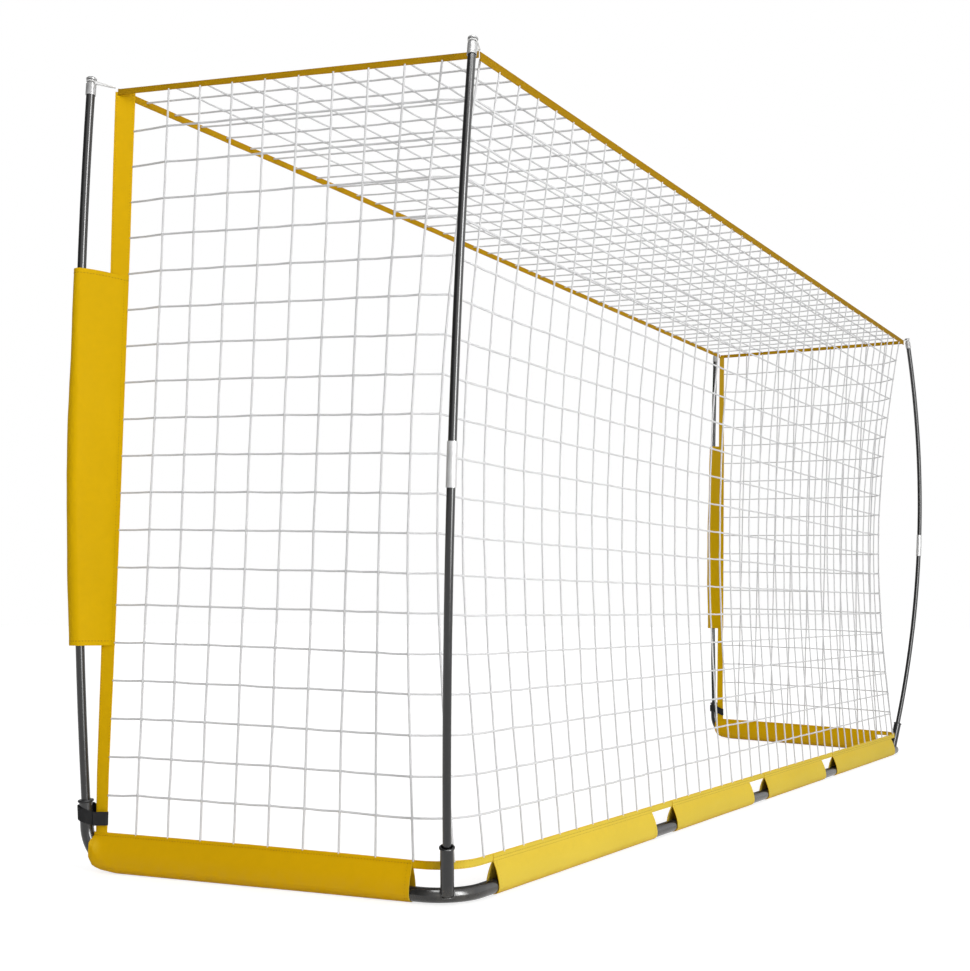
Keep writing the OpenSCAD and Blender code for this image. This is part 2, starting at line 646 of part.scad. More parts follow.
steel = [0.2, 0.2, 0.21];
yellow = [0.85, 0.68, 0.05];
white = [0.93, 0.93, 0.93];
silver = [0.72, 0.72, 0.73];
black = [0.06, 0.06, 0.06];

color(steel) placed(true) side_tube();  // side_tube_l
color(steel) placed(false) side_tube();  // side_tube_r
color(steel) placed(true) corner_tube();  // corner_tube_l
color(steel) placed(false) corner_tube();  // corner_tube_r
color(steel) placed(true) back_tube(false);  // back_tube_l
color(steel) placed(false) back_tube(true);  // back_tube_r
color(steel) placed(true) rear_socket();  // rear_socket_l
color(steel) placed(false) rear_socket();  // rear_socket_r
color(steel) placed(true) front_collar();  // front_collar_l
color(steel) placed(false) front_collar();  // front_collar_r
joint_spigots();
back_button(joint_x, true);  // snap_button_1
back_button(0, false);  // snap_button_2
back_button(joint_x, false);  // snap_button_3
side_button(true);  // snap_button_4
side_button(false);  // snap_button_5

color(steel) placed(true) pole_lower(rear_arc, rear_pole_d, rear_seat);  // rear_pole_lower_l
color(steel) placed(true) pole_upper(rear_arc, rear_pole_d);  // rear_pole_upper_l
color(silver) placed(true) ferrule(rear_arc, rear_pole_d);  // rear_ferrule_l
color(silver) placed(true) cap(rear_arc, rear_pole_d);  // rear_cap_l
color(white) placed(true) cord_loop(rear_arc, rear_pole_d, top_rear);  // rear_cord_l
color(steel) placed(false) pole_lower(rear_arc, rear_pole_d, rear_seat);  // rear_pole_lower_r
color(steel) placed(false) pole_upper(rear_arc, rear_pole_d);  // rear_pole_upper_r
color(silver) placed(false) ferrule(rear_arc, rear_pole_d);  // rear_ferrule_r
color(silver) placed(false) cap(rear_arc, rear_pole_d);  // rear_cap_r
color(white) placed(false) cord_loop(rear_arc, rear_pole_d, top_rear);  // rear_cord_r
color(steel) placed(true) pole_lower(front_arc, front_pole_d, front_seat);  // front_pole_lower_l
color(steel) placed(true) pole_upper(front_arc, front_pole_d);  // front_pole_upper_l
color(silver) placed(true) ferrule(front_arc, front_pole_d);  // front_ferrule_l
color(silver) placed(true) cap(front_arc, front_pole_d);  // front_cap_l
color(white) placed(true) cord_loop(front_arc, front_pole_d, top_front);  // front_cord_l
color(steel) placed(false) pole_lower(front_arc, front_pole_d, front_seat);  // front_pole_lower_r
color(steel) placed(false) pole_upper(front_arc, front_pole_d);  // front_pole_upper_r
color(silver) placed(false) ferrule(front_arc, front_pole_d);  // front_ferrule_r
color(silver) placed(false) cap(front_arc, front_pole_d);  // front_cap_r
color(white) placed(false) cord_loop(front_arc, front_pole_d, top_front);  // front_cord_r

color(white) placed(true) side_net();  // side_net_l
color(white) placed(false) side_net();  // side_net_r
color(white) placed(false) back_net();
color(white) placed(false) roof_net();
color(yellow) placed(true) side_tape();  // side_tape_l
color(yellow) placed(false) side_tape();  // side_tape_r
color(yellow) placed(false) back_tape();
color(yellow) placed(false) crossbar_tape();
color(yellow) placed(true) front_webbing();  // front_webbing_l
color(yellow) placed(false) front_webbing();  // front_webbing_r
color(yellow) placed(true) pole_pocket();  // pole_pocket_l
color(yellow) placed(false) pole_pocket();  // pole_pocket_r
color(black) placed(true) strap();  // strap_l
color(black) placed(false) strap();  // strap_r
color(yellow) placed(true) side_sleeve();  // side_sleeve_l
color(yellow) placed(false) side_sleeve();  // side_sleeve_r
color(yellow) placed(true) corner_hem();  // corner_hem_l
color(yellow) placed(false) corner_hem();  // corner_hem_r
color(yellow) placed(false) back_hem();
color(yellow) placed(false) back_sleeve(sleeve_x[0][0], sleeve_x[0][1]);  // back_sleeve_1
color(yellow) placed(false) back_sleeve(sleeve_x[1][0], sleeve_x[1][1]);  // back_sleeve_2
color(yellow) placed(false) back_sleeve(sleeve_x[2][0], sleeve_x[2][1]);  // back_sleeve_3
color(yellow) placed(false) back_sleeve(sleeve_x[3][0], sleeve_x[3][1]);  // back_sleeve_4
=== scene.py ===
# Portable knock-down football goal: net, cords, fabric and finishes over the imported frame.
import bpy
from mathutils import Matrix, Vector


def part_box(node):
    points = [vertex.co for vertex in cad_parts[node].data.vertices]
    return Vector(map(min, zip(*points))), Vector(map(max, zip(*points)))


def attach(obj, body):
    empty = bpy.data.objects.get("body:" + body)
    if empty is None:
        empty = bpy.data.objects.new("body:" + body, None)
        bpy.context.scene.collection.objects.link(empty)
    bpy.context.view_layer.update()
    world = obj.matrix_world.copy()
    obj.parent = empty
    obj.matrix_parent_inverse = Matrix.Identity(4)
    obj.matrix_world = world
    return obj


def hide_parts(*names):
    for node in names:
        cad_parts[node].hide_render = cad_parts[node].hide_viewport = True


bl_info = {
    "name": "Knock-down football goal",
    "version": (1, 0, 0),
    "blender": (4, 5, 0),
    "location": "View3D > Sidebar > Goal",
    "description": "Makes the goal's net, cords and fabric and finishes its metal parts",
    "category": "Object",
}

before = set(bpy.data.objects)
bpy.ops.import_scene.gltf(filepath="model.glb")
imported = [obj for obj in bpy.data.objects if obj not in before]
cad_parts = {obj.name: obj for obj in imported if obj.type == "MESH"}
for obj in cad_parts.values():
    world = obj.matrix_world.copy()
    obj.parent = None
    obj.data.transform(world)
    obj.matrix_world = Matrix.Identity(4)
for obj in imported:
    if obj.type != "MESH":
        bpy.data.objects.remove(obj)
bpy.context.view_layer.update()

import math

import bmesh
import bpy
from mathutils import Vector, noise

noise.seed_set(7)  # vector noise takes its start from the clock otherwise

# Lengths are in millimetres, X across the mouth, Y = 0 at the roof's rear edge and
# positive to the rear, Z = 0 on the ground. stand() puts a point in the frame.
BASE_SET = 70  # the base's rear edge stands this far ahead of the roof's
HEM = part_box("back_hem")
ROOF_Y = 500 * (HEM[0][1] + HEM[1][1]) + BASE_SET
SIDES = {"r": 1, "l": -1}
UP = Vector((0, 0, 1))
REARWARD = Vector((0, 1, 0))

SPLAY = math.radians(11)
HEADING = Vector((math.sin(SPLAY), -math.cos(SPLAY), 0))
OUTWARD = Vector((math.cos(SPLAY), math.sin(SPLAY), 0))
CORNER = Vector((1625, -BASE_SET, 0))
BEND_R = 100
BEND_LEG = BEND_R * math.tan((math.pi / 2 - SPLAY) / 2)
BEND_CENTRE = CORNER + Vector((-BEND_LEG, -BEND_R, 0))
TOP_FRONT = Vector((1830, -914, 1815))
TOP_REAR = Vector((1652.34, 0, 1744))

TUBE_R = 15
TUBE_Z = 16.3  # height of the base tube's axis
UPTURN_T = 831  # where the upturn starts along a side, from the virtual corner
UPTURN_R = 85
UPTURN_ROLL = math.radians(3.8)
UPTURN_UP = Vector((0.0733173, -0.0301844, 0.996852))
UPTURN_RIM = Vector((1809.14, -969.746, 153))
HEM_TOP = 83
HEM_LOW = 66
CORNER_GAP = 101
BACK_END = 1498
NOTCHES = (-680, 0, 680)
NOTCH_W = 126

CLEAR = 0.3  # gap between pieces that meet edge to edge
TAPE_T = 1.6
SIDE_TAPE = 14.5
BACK_TAPE = 20
FRONT_TAPE = 17
WEB_LOW = HEM_TOP + CLEAR
WEB_HIGH = TOP_FRONT.z - SIDE_TAPE - CLEAR
POCKET_LOW = 506
POCKET_HIGH = 1379

SIDE_CELLS = 10
BACK_CELLS = 41
ROWS = 20


def lerp(a, b, t):
    return a + (b - a) * t


def clamp(x, low=0, high=1):
    return max(low, min(high, x))


def along_table(table, x):
    """Straight-line reading of a table of (x, value) pairs."""
    for (x0, y0), (x1, y1) in zip(table, table[1:]):
        if x <= x1:
            return lerp(y0, y1, clamp((x - x0) / (x1 - x0)))
    return table[-1][1]


def run(points):
    """Length of a line of points."""
    return sum((b - a).length for a, b in zip(points, points[1:]))


def stand(p, side=1):
    return Vector((side * p[0], p[1] + ROOF_Y, p[2])) / 1000


def side_at(t, n=0, z=0):
    """Point along a base side: t from the virtual rear corner, n outward."""
    return CORNER + HEADING * t + OUTWARD * n + UP * z


class Bow:
    """Arc of a pole from its socket's rim to its tip."""

    def __init__(self, rim, tip, sag, towards):
        rim, tip, towards = Vector(rim), Vector(tip), Vector(towards)
        u = (tip - rim).normalized()
        w = (towards - u * towards.dot(u)).normalized()
        chord = (tip - rim).length
        self.r = chord * chord / 8 / sag + sag / 2
        half = math.asin(chord / 2 / self.r)
        self.rim, self.angle = rim, 2 * half
        self.start = u * math.cos(half) + w * math.sin(half)
        self.inward = u * math.sin(half) - w * math.cos(half)

    def point(self, a):
        return self.rim + self.start * (self.r * math.sin(a)) + self.inward * (self.r * (1 - math.cos(a)))

    def along(self, a):
        return self.start * math.cos(a) + self.inward * math.sin(a)

    def at_height(self, z):
        low, high = 0, 2 * self.angle
        for _ in range(30):
            mid = (low + high) / 2
            low, high = (mid, high) if self.point(mid).z < z else (low, mid)
        return self.point(low)


REAR_BOW = Bow((1650, -80, 119), (1694.34, 7, 1717), 100, (0.894, 0.447, 0))
FRONT_BOW = Bow(UPTURN_RIM, (1872, -957, 1795), 23, (0.65, -0.76, 0))
REAR_POLE_D = 17.5
FRONT_POLE_D = 20


def belt(p, r, q, s, n=24, m=6):
    """Outline of a belt round two circles in a plane, from one tangent point right round."""
    d = (q[0] - p[0], q[1] - p[1])
    a, b = math.atan2(d[1], d[0]), math.acos((r - s) / math.hypot(*d))
    turns = [(p, r, a + b + i * (2 * math.pi - 2 * b) / n) for i in range(n + 1)]
    turns += [(q, s, a - b + i * 2 * b / m) for i in range(m + 1)]
    return [(c[0] + k * math.cos(t), c[1] + k * math.sin(t)) for c, k, t in turns]


# ---------------------------------------------------------------- mesh making


CLOTH_MARKS = ("u_mm", "v_mm")
TWINE_MARKS = ("along_mm", "around_c", "around_s")


class Shape:
    """Points, faces and per-point values of one piece."""

    def __init__(self, *marks):
        self.points, self.faces = [], []
        self.marks = {name: [] for name in marks}

    def add(self, point, *values):
        self.points.append(point)
        for column, value in zip(self.marks.values(), values):
            column.append(value)
        return len(self.points) - 1

    def ring(self, section, *values):
        """Adds a closed section; each value is one number or one for each point."""
        return [
            self.add(p, *(v[i] if isinstance(v, (list, tuple)) else v for v in values))
            for i, p in enumerate(section)
        ]

    def tube(self, rings):
        """Adds the faces between closed sections, and a face over each end."""
        for a, b in zip(rings, rings[1:]):
            n = len(a)
            self.faces += [(a[i], a[(i + 1) % n], b[(i + 1) % n], b[i]) for i in range(n)]
        self.faces += [rings[0][::-1], rings[-1]]

    def build(self, name, side, material, body, slot, replaces=(), sharp=40):
        mesh = bpy.data.meshes.new(name)
        mesh.from_pydata([stand(p, side) for p in self.points], [], self.faces)
        for mark, values in self.marks.items():
            mesh.attributes.new(mark, "FLOAT", "POINT").data.foreach_set("value", values)
        bm = bmesh.new()
        bm.from_mesh(mesh)
        bmesh.ops.recalc_face_normals(bm, faces=bm.faces)
        bm.to_mesh(mesh)
        bm.free()
        mesh.shade_smooth()
        mesh.set_sharp_from_angle(angle=math.radians(sharp))
        mesh.materials.append(material)
        piece = bpy.data.objects.new(name, mesh)
        bpy.context.scene.collection.objects.link(piece)
        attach(piece, body)
        if replaces:
            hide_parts(*replaces)
        return piece


def sheet_normals(rows, ring):
    n = len(rows[0])
    found = []
    for k, row in enumerate(rows):
        ahead, behind = rows[min(k + 1, len(rows) - 1)], rows[max(k - 1, 0)]
        line = []
        for i in range(n):
            a, b = (i - 1, (i + 1) % n) if ring else (max(i - 1, 0), min(i + 1, n - 1))
            line.append((row[b] - row[a]).cross(ahead[i] - behind[i]).normalized())
        found.append(line)
    return found


def crumple(rows, ring, folds, seed, ease):
    """Moves cloth in and out in soft folds; ease(k, i) is 0 where it is sewn.

    folds lists each layer's depth, its size along X, Y and Z, and what it adds to the seed."""
    for depth, size, more in folds:
        normals = sheet_normals(rows, ring)
        start = Vector(((seed + more) * 17.3, (seed + more) * 5.1, (seed + more) * 9.7))

        def moved(k, i, p):
            wave = noise.noise(Vector((p.x / size[0], p.y / size[1], p.z / size[2])) + start)
            return p + normals[k][i] * (depth * ease(k, i) * wave)

        rows = [[moved(k, i, p) for i, p in enumerate(row)] for k, row in enumerate(rows)]
    return rows


def lay_sheet(shape, rows, thickness, ring=False):
    """Adds a closed slab of cloth about rows of middle points, marked with its lengths in mm.

    thickness is a function of a point's row and its place in the row."""
    normals = sheet_normals(rows, ring)
    n = len(rows[0])
    u = 0
    layers = []
    for k, row in enumerate(rows):
        if k:
            u += sum((row[i] - rows[k - 1][i]).length for i in (0, n // 2)) / 2
        v = 0
        upper, lower = [], []
        for i, p in enumerate(row):
            if i:
                v += (p - row[i - 1]).length
            half = normals[k][i] * (thickness(k, i) / 2)
            upper.append(shape.add(p + half, u, v))
            lower.append(shape.add(p - half, u, v))
        layers.append((upper, lower))
    last = n if ring else n - 1
    for (a, b), (c, d) in zip(layers, layers[1:]):
        for i in range(last):
            j = (i + 1) % n
            shape.faces += [(a[i], a[j], c[j], c[i]), (b[j], b[i], d[i], d[j])]
        if not ring:
            shape.faces += [(a[0], c[0], d[0], b[0]), (a[-1], b[-1], d[-1], c[-1])]
    for a, b in (layers[0], layers[-1]):
        shape.faces += [(a[i], a[(i + 1) % n], b[(i + 1) % n], b[i]) for i in range(last)]
    return normals


# One face of a tape's section, as shares of its width and thickness. Its edges are bound.
TAPE_FACE = [(0, 0.3), (0.03, 0.5), (0.12, 0.42), (0.5, 0.4), (0.88, 0.42), (0.97, 0.5), (1, 0.3)]


def lay_band(shape, stations, thick):
    """Adds a flat band; stations are (low edge, high edge, out) with out across its thickness."""
    back = [(a, -b) for a, b in reversed(TAPE_FACE)]
    profile = back[-1:] + TAPE_FACE + back[:-1]
    u, rings, before = 0, [], None
    for low, high, out in stations:
        if before is not None:
            u += ((low + high) / 2 - before).length
        before = (low + high) / 2
        width = (high - low).length
        section = [lerp(low, high, a) + out * (b * thick) for a, b in profile]
        rings.append(shape.ring(section, u, [a * width for a, _ in profile]))
    shape.tube(rings)


# Length, half width and rise of one stitch, on plain cloth, in tape, at open ends and in the hem's seam.
STITCH = Vector((4.4, 0.55, 0.45))
TAPE_STITCH = Vector((4.4, 0.55, 0.3))
END_STITCH = Vector((4.4, 0.55, 0.15))
HEM_STITCH = Vector((6.0, 0.9, 0.5))
STITCH_SINK = 0.1  # how deep a stitch's foot lies in the cloth
PITCH = 7.0


def sew(shape, line, outs, stitch=STITCH):
    """Adds a row of raised stitches along a line of points, each with its outward direction."""
    at, left = PITCH / 2, 0.0
    for (p, q), (m, n) in zip(zip(line, line[1:]), zip(outs, outs[1:])):
        span = (q - p).length
        if span < 1e-6:
            continue
        d = (q - p) / span
        while at < left + span:
            f = (at - left) / span
            c, out = lerp(p, q, f), lerp(m, n, f).normalized()
            along, across, sunk = d * (stitch.x / 2), d.cross(out).normalized() * stitch.y, out * STITCH_SINK
            tail, head = shape.add(c - along - sunk), shape.add(c + along - sunk)
            left_foot, crown = shape.add(c + across - sunk), shape.add(c + out * stitch.z)
            right_foot = shape.add(c - across - sunk)
            shape.faces += [
                (tail, crown, left_foot), (tail, right_foot, crown), (head, left_foot, crown),
                (head, crown, right_foot), (tail, left_foot, right_foot), (head, right_foot, left_foot),
            ]
            at += PITCH
        left += span


def sew_faces(shape, line, outs, rise, stitch=STITCH):
    """Sews a row on both faces of a sheet, rise from its middle."""
    for face in (1, -1):
        lifted = [p + out * (rise * face) for p, out in zip(line, outs)]
        sew(shape, lifted, [out * face for out in outs], stitch)


def lay_twine(shape, path, radii, guide, start=0.0, sides=6):
    """Adds a round string along a path, marked for the lay of its strands."""
    turn = [2 * math.pi * k / sides for k in range(sides)]
    rings, along = [], start
    for i, p in enumerate(path):
        if i:
            along += (p - path[i - 1]).length
        t = (path[min(i + 1, len(path) - 1)] - path[max(i - 1, 0)]).normalized()
        u = (guide - t * guide.dot(t)).normalized()
        v = t.cross(u)
        section = [p + (u * math.cos(a) + v * math.sin(a)) * radii[i] for a in turn]
        rings.append(shape.ring(section, along, [math.cos(a) for a in turn], [math.sin(a) for a in turn]))
    shape.tube(rings)


def sewn_sheet(shape, seam, node, forms, side, material, slot):
    """Builds a sheet in place of a node, and its stitches.

    forms are the endings of both names."""
    piece = shape.build(f"{node}_{forms[0]}", side, material, "goal", slot, [node])
    stitches = seam.build(f"{node}_{forms[1]}", side, thread_and_seam_shade_finish(), "goal", slot)


# ------------------------------------------------------------------ materials


class Wire:
    """Output of a node. A sum or product with it adds a math node."""

    def __init__(self, nodes, socket):
        self.nodes, self.socket = nodes, socket


for sign, what in (("add", "ADD"), ("sub", "SUBTRACT"), ("mul", "MULTIPLY"), ("truediv", "DIVIDE")):
    setattr(Wire, f"__{sign}__", lambda a, b, what=what: a.nodes.math(what, a, b))
    setattr(Wire, f"__r{sign}__", lambda a, b, what=what: a.nodes.math(what, b, a))


class Nodes:
    """Short calls to add and link the nodes of one tree."""

    def __init__(self, tree):
        self.tree = tree

    def put(self, socket, value):
        """Links an output to a socket, or writes a plain value there."""
        if isinstance(value, Wire):
            self.tree.links.new(value.socket, socket)
        else:
            socket.default_value = value

    def add(self, kind, inputs=None, **settings):
        node = self.tree.nodes.new(kind)
        for key, value in settings.items():
            setattr(node, key, value)
        for key, value in (inputs or {}).items():
            self.put(node.inputs[key], value)
        return node

    def wires(self, node):
        return {socket.name: Wire(self, socket) for socket in node.outputs}

    def one(self, output, kind, inputs=None, **settings):
        """Adds a node and returns one of its outputs."""
        return Wire(self, self.add(kind, inputs, **settings).outputs[output])

    def math(self, what, *values):
        return self.one(0, "ShaderNodeMath", dict(enumerate(values)), operation=what)

    def mark(self, name):
        return self.one("Fac", "ShaderNodeAttribute", attribute_name=name)

    def noise(self, place, scale, detail=3.0, rough=0.5):
        inputs = {"Scale": scale, "Detail": detail, "Roughness": rough, "Vector": place}
        return self.one("Fac", "ShaderNodeTexNoise", inputs)

    def blend(self, factor, a, b):
        node = self.add("ShaderNodeMix", {"Factor": factor}, data_type="RGBA")
        self.put(node.inputs[6], a)
        self.put(node.inputs[7], b)
        return Wire(self, node.outputs[2])

    def spread(self, value, low, high, to_low=0.0, to_high=1.0):
        inputs = {"Value": value, "From Min": low, "From Max": high, "To Min": to_low, "To Max": to_high}
        return self.one("Result", "ShaderNodeMapRange", inputs)

    def place(self):
        return self.one("Object", "ShaderNodeTexCoord")

    def part(self, axis, vector):
        return self.one(axis, "ShaderNodeSeparateXYZ", {"Vector": vector})

    def toned(self, colour, value):
        return self.one(0, "ShaderNodeHueSaturation", {"Color": colour, "Value": value})

    def close(self, end, **wires):
        """Links the named wires to a group's end and returns the group."""
        for label, wire in wires.items():
            self.put(end.inputs[label], wire)
        return self.tree


def new_group(name, inputs, outputs):
    """Starts a shader group with its named sockets; returns its nodes, its inputs and its end."""
    tree = bpy.data.node_groups.new(name, "ShaderNodeTree")
    for label, value in inputs.items():
        kind = "NodeSocketColor" if isinstance(value, tuple) else "NodeSocketFloat"
        tree.interface.new_socket(label, in_out="INPUT", socket_type=kind).default_value = value
    for label in outputs:
        kind = "NodeSocketColor" if label == "Colour" else "NodeSocketFloat"
        tree.interface.new_socket(label, in_out="OUTPUT", socket_type=kind)
    n = Nodes(tree)
    return n, n.wires(n.add("NodeGroupInput")), n.add("NodeGroupOutput")


TURN = 2 * math.pi
CLOTH_DUST = (0.23, 0.19, 0.13, 1)
METAL_DUST = (0.25, 0.22, 0.17, 1)
FADE_SCALE, FIBRE_SCALE, RIB_SCALE, FUZZ_SCALE, RUB_SCALE = 3.0, 60.0, 45.0, 220.0, 18.0


def woven_group():
    """Plain weave of coated cloth: colour with dust and sun fade, a painted sheen that pales the faces turned
    to the rear, and the threads' height.
    """
    n, given, end = new_group(
        "Woven cloth",
        {
            # Rear is the painted sheen colour that faces turned to the rear blend to.
            "Colour": (0.7, 0.43, 0.01, 1), "Rear": (0.7, 0.5, 0.05, 1),
            "Thread": 0.9, "Fade": 0.12, "Dirt": 0.15,
        },
        ("Colour", "Height", "Roughness"),
    )
    turn = TURN / given["Thread"]
    weave = n.math("SINE", n.mark("u_mm") * turn) * n.math("SINE", n.mark("v_mm") * turn)
    place = n.place()
    slow, fine = n.noise(place, FADE_SCALE, 2.0), n.noise(place, FIBRE_SCALE, 4.0, 0.6)
    shade = weave * 0.03 + (fine - 0.5) * 0.10
    # Painted sheen: faces turned towards the rear blend to the paler Rear colour, standing in for the light's
    # sheen on them.
    facing = n.spread(n.part("Y", n.one("Normal", "ShaderNodeNewGeometry")), 0.3, 1.0)
    cloth = n.blend(facing, given["Colour"], given["Rear"])
    toned = n.toned(cloth, 1.0 + (shade + (slow - 0.5) * given["Fade"]))
    low = n.spread(n.part("Z", place), 0.0, 0.05, 1.0, 0.0)
    dust = low * given["Dirt"] * n.spread(fine, 0.3, 0.7)
    return n.close(
        end,
        Colour=n.blend(dust, toned, CLOTH_DUST),
        Height=weave * 0.5 + slow * 3.0,
        Roughness=n.spread(fine, 0.3, 0.7, 0.46, 0.58),
    )


def ribbed_group():
    """Woven tape: ribs across its length, bound edges and a little dirt."""
    n, given, end = new_group(
        "Ribbed tape", {"Colour": (0.4, 0.24, 0.01, 1), "Rib": 2.2, "Wear": 0.2}, ("Colour", "Height")
    )
    ribs = n.math("SINE", n.mark("u_mm") * (TURN / given["Rib"]))
    cross = n.math("SINE", n.mark("v_mm") * (2 * TURN / given["Rib"]))
    weave = ribs * 0.7 + cross * 0.3
    fine = n.noise(n.place(), RIB_SCALE, 4.0, 0.65)
    value = 1.0 + (weave * 0.05 + (fine - 0.5) * given["Wear"])
    return n.close(end, Colour=n.toned(given["Colour"], value), Height=weave)


def strand_group():
    """Twisted or braided strands of a string, with painted shade in the grooves."""
    n, given, end = new_group(
        "Strands", {"Colour": (0.8, 0.8, 0.8, 1), "Pitch": 7.0, "Braid": 0.0}, ("Colour", "Height")
    )
    phase = n.mark("along_mm") * (TURN / given["Pitch"])
    c, s = n.mark("around_c"), n.mark("around_s")
    sine, cosine = n.math("SINE", phase), n.math("COSINE", phase)
    lay = sine * c + cosine * s
    braid = lay * (sine * c - cosine * s)
    height = n.math("ABSOLUTE", lay * (1.0 - given["Braid"]) + braid * given["Braid"])
    fuzz = n.noise(n.place(), FUZZ_SCALE, 3.0, 0.7)
    # Painted shade: the colour darkens to 0.86 in the grooves between strands.
    value = n.spread(height, 0.0, 0.5, 0.86, 1.0) + (fuzz - 0.5) * 0.1
    return n.close(end, Colour=n.toned(given["Colour"], value), Height=height + fuzz * 0.4)


def coated_group():
    """Coated or moulded surface: orange peel, rub marks, dust near the ground and worn edges."""
    n, given, end = new_group(
        "Coated surface",
        {
            "Colour": (0.05, 0.05, 0.05, 1), "Bare": (0.35, 0.35, 0.36, 1),
            "Peel": 260.0, "Wear": 0.3, "Smooth": 0.25,
        },
        ("Colour", "Roughness", "Height"),
    )
    place = n.place()
    peel, rub = n.noise(place, given["Peel"], 2.0), n.noise(place, RUB_SCALE, 5.0, 0.7)
    edge = n.spread(n.one("Pointiness", "ShaderNodeNewGeometry"), 0.53, 0.60)
    worn = edge * n.spread(rub, 0.42, 0.6) * given["Wear"]
    toned = n.toned(given["Colour"], n.spread(rub, 0.25, 0.75, 0.88, 1.12))
    low = n.spread(n.part("Z", place), 0.0, 0.04, 0.22, 0.0)
    dusty = n.blend(low * n.spread(rub, 0.35, 0.65), toned, METAL_DUST)
    return n.close(
        end,
        Colour=n.blend(worn, dusty, given["Bare"]),
        Roughness=given["Smooth"] + n.spread(rub, 0.3, 0.8, 0.0, 0.14),
        Height=peel,
    )


GROUPS = {
    "Woven cloth": woven_group,
    "Ribbed tape": ribbed_group,
    "Strands": strand_group,
    "Coated surface": coated_group,
}


def new_material(name):
    """Starts a material; returns it with its nodes and the inputs of its surface."""
    material = bpy.data.materials.new(name)
    material.use_nodes = True
    n = Nodes(material.node_tree)
    return material, n, n.tree.nodes["Principled BSDF"].inputs


def finish(name, group, values, bump=0.2, depth=0.0003, **shader):
    """A material whose colour and relief come from one of the groups; shader sets plain sockets."""
    if name in bpy.data.materials:
        return bpy.data.materials[name]
    material, n, skin = new_material(name)
    tree = bpy.data.node_groups.get(group) or GROUPS[group]()
    source = n.add("ShaderNodeGroup", node_tree=tree)
    for label, value in values.items():
        source.inputs[label].default_value = (*value[:3], 1) if hasattr(value, "__len__") else value
    given = n.wires(source)
    n.put(skin["Base Color"], given["Colour"])
    if "Roughness" in given:
        n.put(skin["Roughness"], given["Roughness"])
    relief = n.one(0, "ShaderNodeBump", {"Strength": bump, "Distance": depth, "Height": given["Height"]})
    n.put(skin["Normal"], relief)
    for label, value in shader.items():
        skin[label.replace("_", " ")].default_value = value
    return material


# ----------------------------------------------------------------- properties


def colour_prop(name, description, default):
    return bpy.props.FloatVectorProperty(
        name=name, description=description, default=default, subtype="COLOR", min=0, max=1
    )


def number_prop(name, description, default, low, high, unit="LENGTH"):
    return bpy.props.FloatProperty(
        name=name, description=description, default=default, min=low, max=high, unit=unit
    )


class GOAL_PG_fabric(bpy.types.PropertyGroup):
    """Colours and sizes of the sewn parts"""

    sleeve: colour_prop("Sleeves", "Colour of the cloth of the base sleeves and hems", (0.71, 0.405, 0.001))
    pocket: colour_prop("Pockets", "Colour of the two front pole pockets", (0.70, 0.42, 0.001))
    webbing: colour_prop("Webbing", "Colour of the front webbings", (0.74, 0.435, 0.002))
    tape: colour_prop("Tapes", "Colour of the tapes along the top edges", (0.46, 0.25, 0.003))
    # Painted shade: a darker copy of the tape colour for the tape along the back, which hangs in shade.
    rear_tape: colour_prop("Rear tape", "Colour of the tape along the top of the back", (0.33, 0.18, 0.001))
    # Painted sheen: the paler colour that sleeve cloth facing the rear blends to, in place of the lit sheen
    # there.
    pale: colour_prop("Pale side", "Colour of the sleeves where they face the rear", (0.71, 0.53, 0.06))
    strap: colour_prop("Straps", "Colour of the hook-and-loop straps", (0.012, 0.012, 0.013))
    # Partly thread, partly painted shade: the dark brown stitches stand in for the shadow in the seams'
    # creases.
    thread: colour_prop("Thread", "Colour of the sewing thread", (0.28, 0.12, 0.001))
    cloth: number_prop("Cloth", "Thickness of the sleeve cloth", 0.0011, 0.0005, 0.0014)


class GOAL_PG_net(bpy.types.PropertyGroup):
    """Strings of the net and its cords"""

    string: number_prop("String", "Diameter of a net string", 0.0049, 0.002, 0.005)
    knot: number_prop("Knot", "Diameter of a knot", 0.0074, 0.004, 0.009)
    jitter: number_prop("Jitter", "How far a knot strays from an even mesh", 0.0016, 0, 0.005)
    colour: colour_prop("Colour", "Colour of the net strings", (0.69, 0.69, 0.695))
    cord: colour_prop("Cord", "Colour of the corner cords", (0.82, 0.82, 0.81))


class GOAL_PG_metal(bpy.types.PropertyGroup):
    """Finishes of the tubes, poles and fittings"""

    steel: colour_prop("Steel", "Colour of the coated base tubes and sockets", (0.008, 0.008, 0.0085))
    pole: colour_prop("Poles", "Colour of the poles", (0.004, 0.004, 0.0043))
    ferrule: colour_prop("Ferrules", "Colour of the pole joints' ferrules", (0.55, 0.55, 0.55))
    cap: colour_prop("Caps", "Colour of the pole caps", (0.37, 0.37, 0.37))


class GOAL_PG_stage(bpy.types.PropertyGroup):
    """Floor, lamps and sky"""

    floor: colour_prop("Floor", "Colour of the floor", (0.80, 0.80, 0.80))
    level: number_prop("Level", "Brightness of the floor as it is seen, 1 for white", 1.08, 0, 2, "NONE")
    key: number_prop("Key lamp", "Power of the key lamp", 175.0, 0, 1000, "POWER")
    card: number_prop("Gloss card", "Power of each card that only reflections show", 190.0, 0, 1000, "POWER")
    fill: number_prop("Fill lamp", "Power of the fill lamp", 60.0, 0, 1000, "POWER")
    sky: number_prop("Sky", "Strength of the even sky light", 0.57, 0, 2, "NONE")


def fabric():
    return bpy.context.scene.goal_fabric


def cloth_finish(name, colour, rear):
    values = {"Colour": colour, "Rear": rear}
    return finish(name, "Woven cloth", values, bump=0.25, depth=0.0004, Specular_IOR_Level=0.03)


def sleeve_finish():
    # The pale rear colour is a painted sheen on the sleeves' rear-facing cloth.
    return cloth_finish("yellow_sleeve_cloth", fabric().sleeve, fabric().pale)


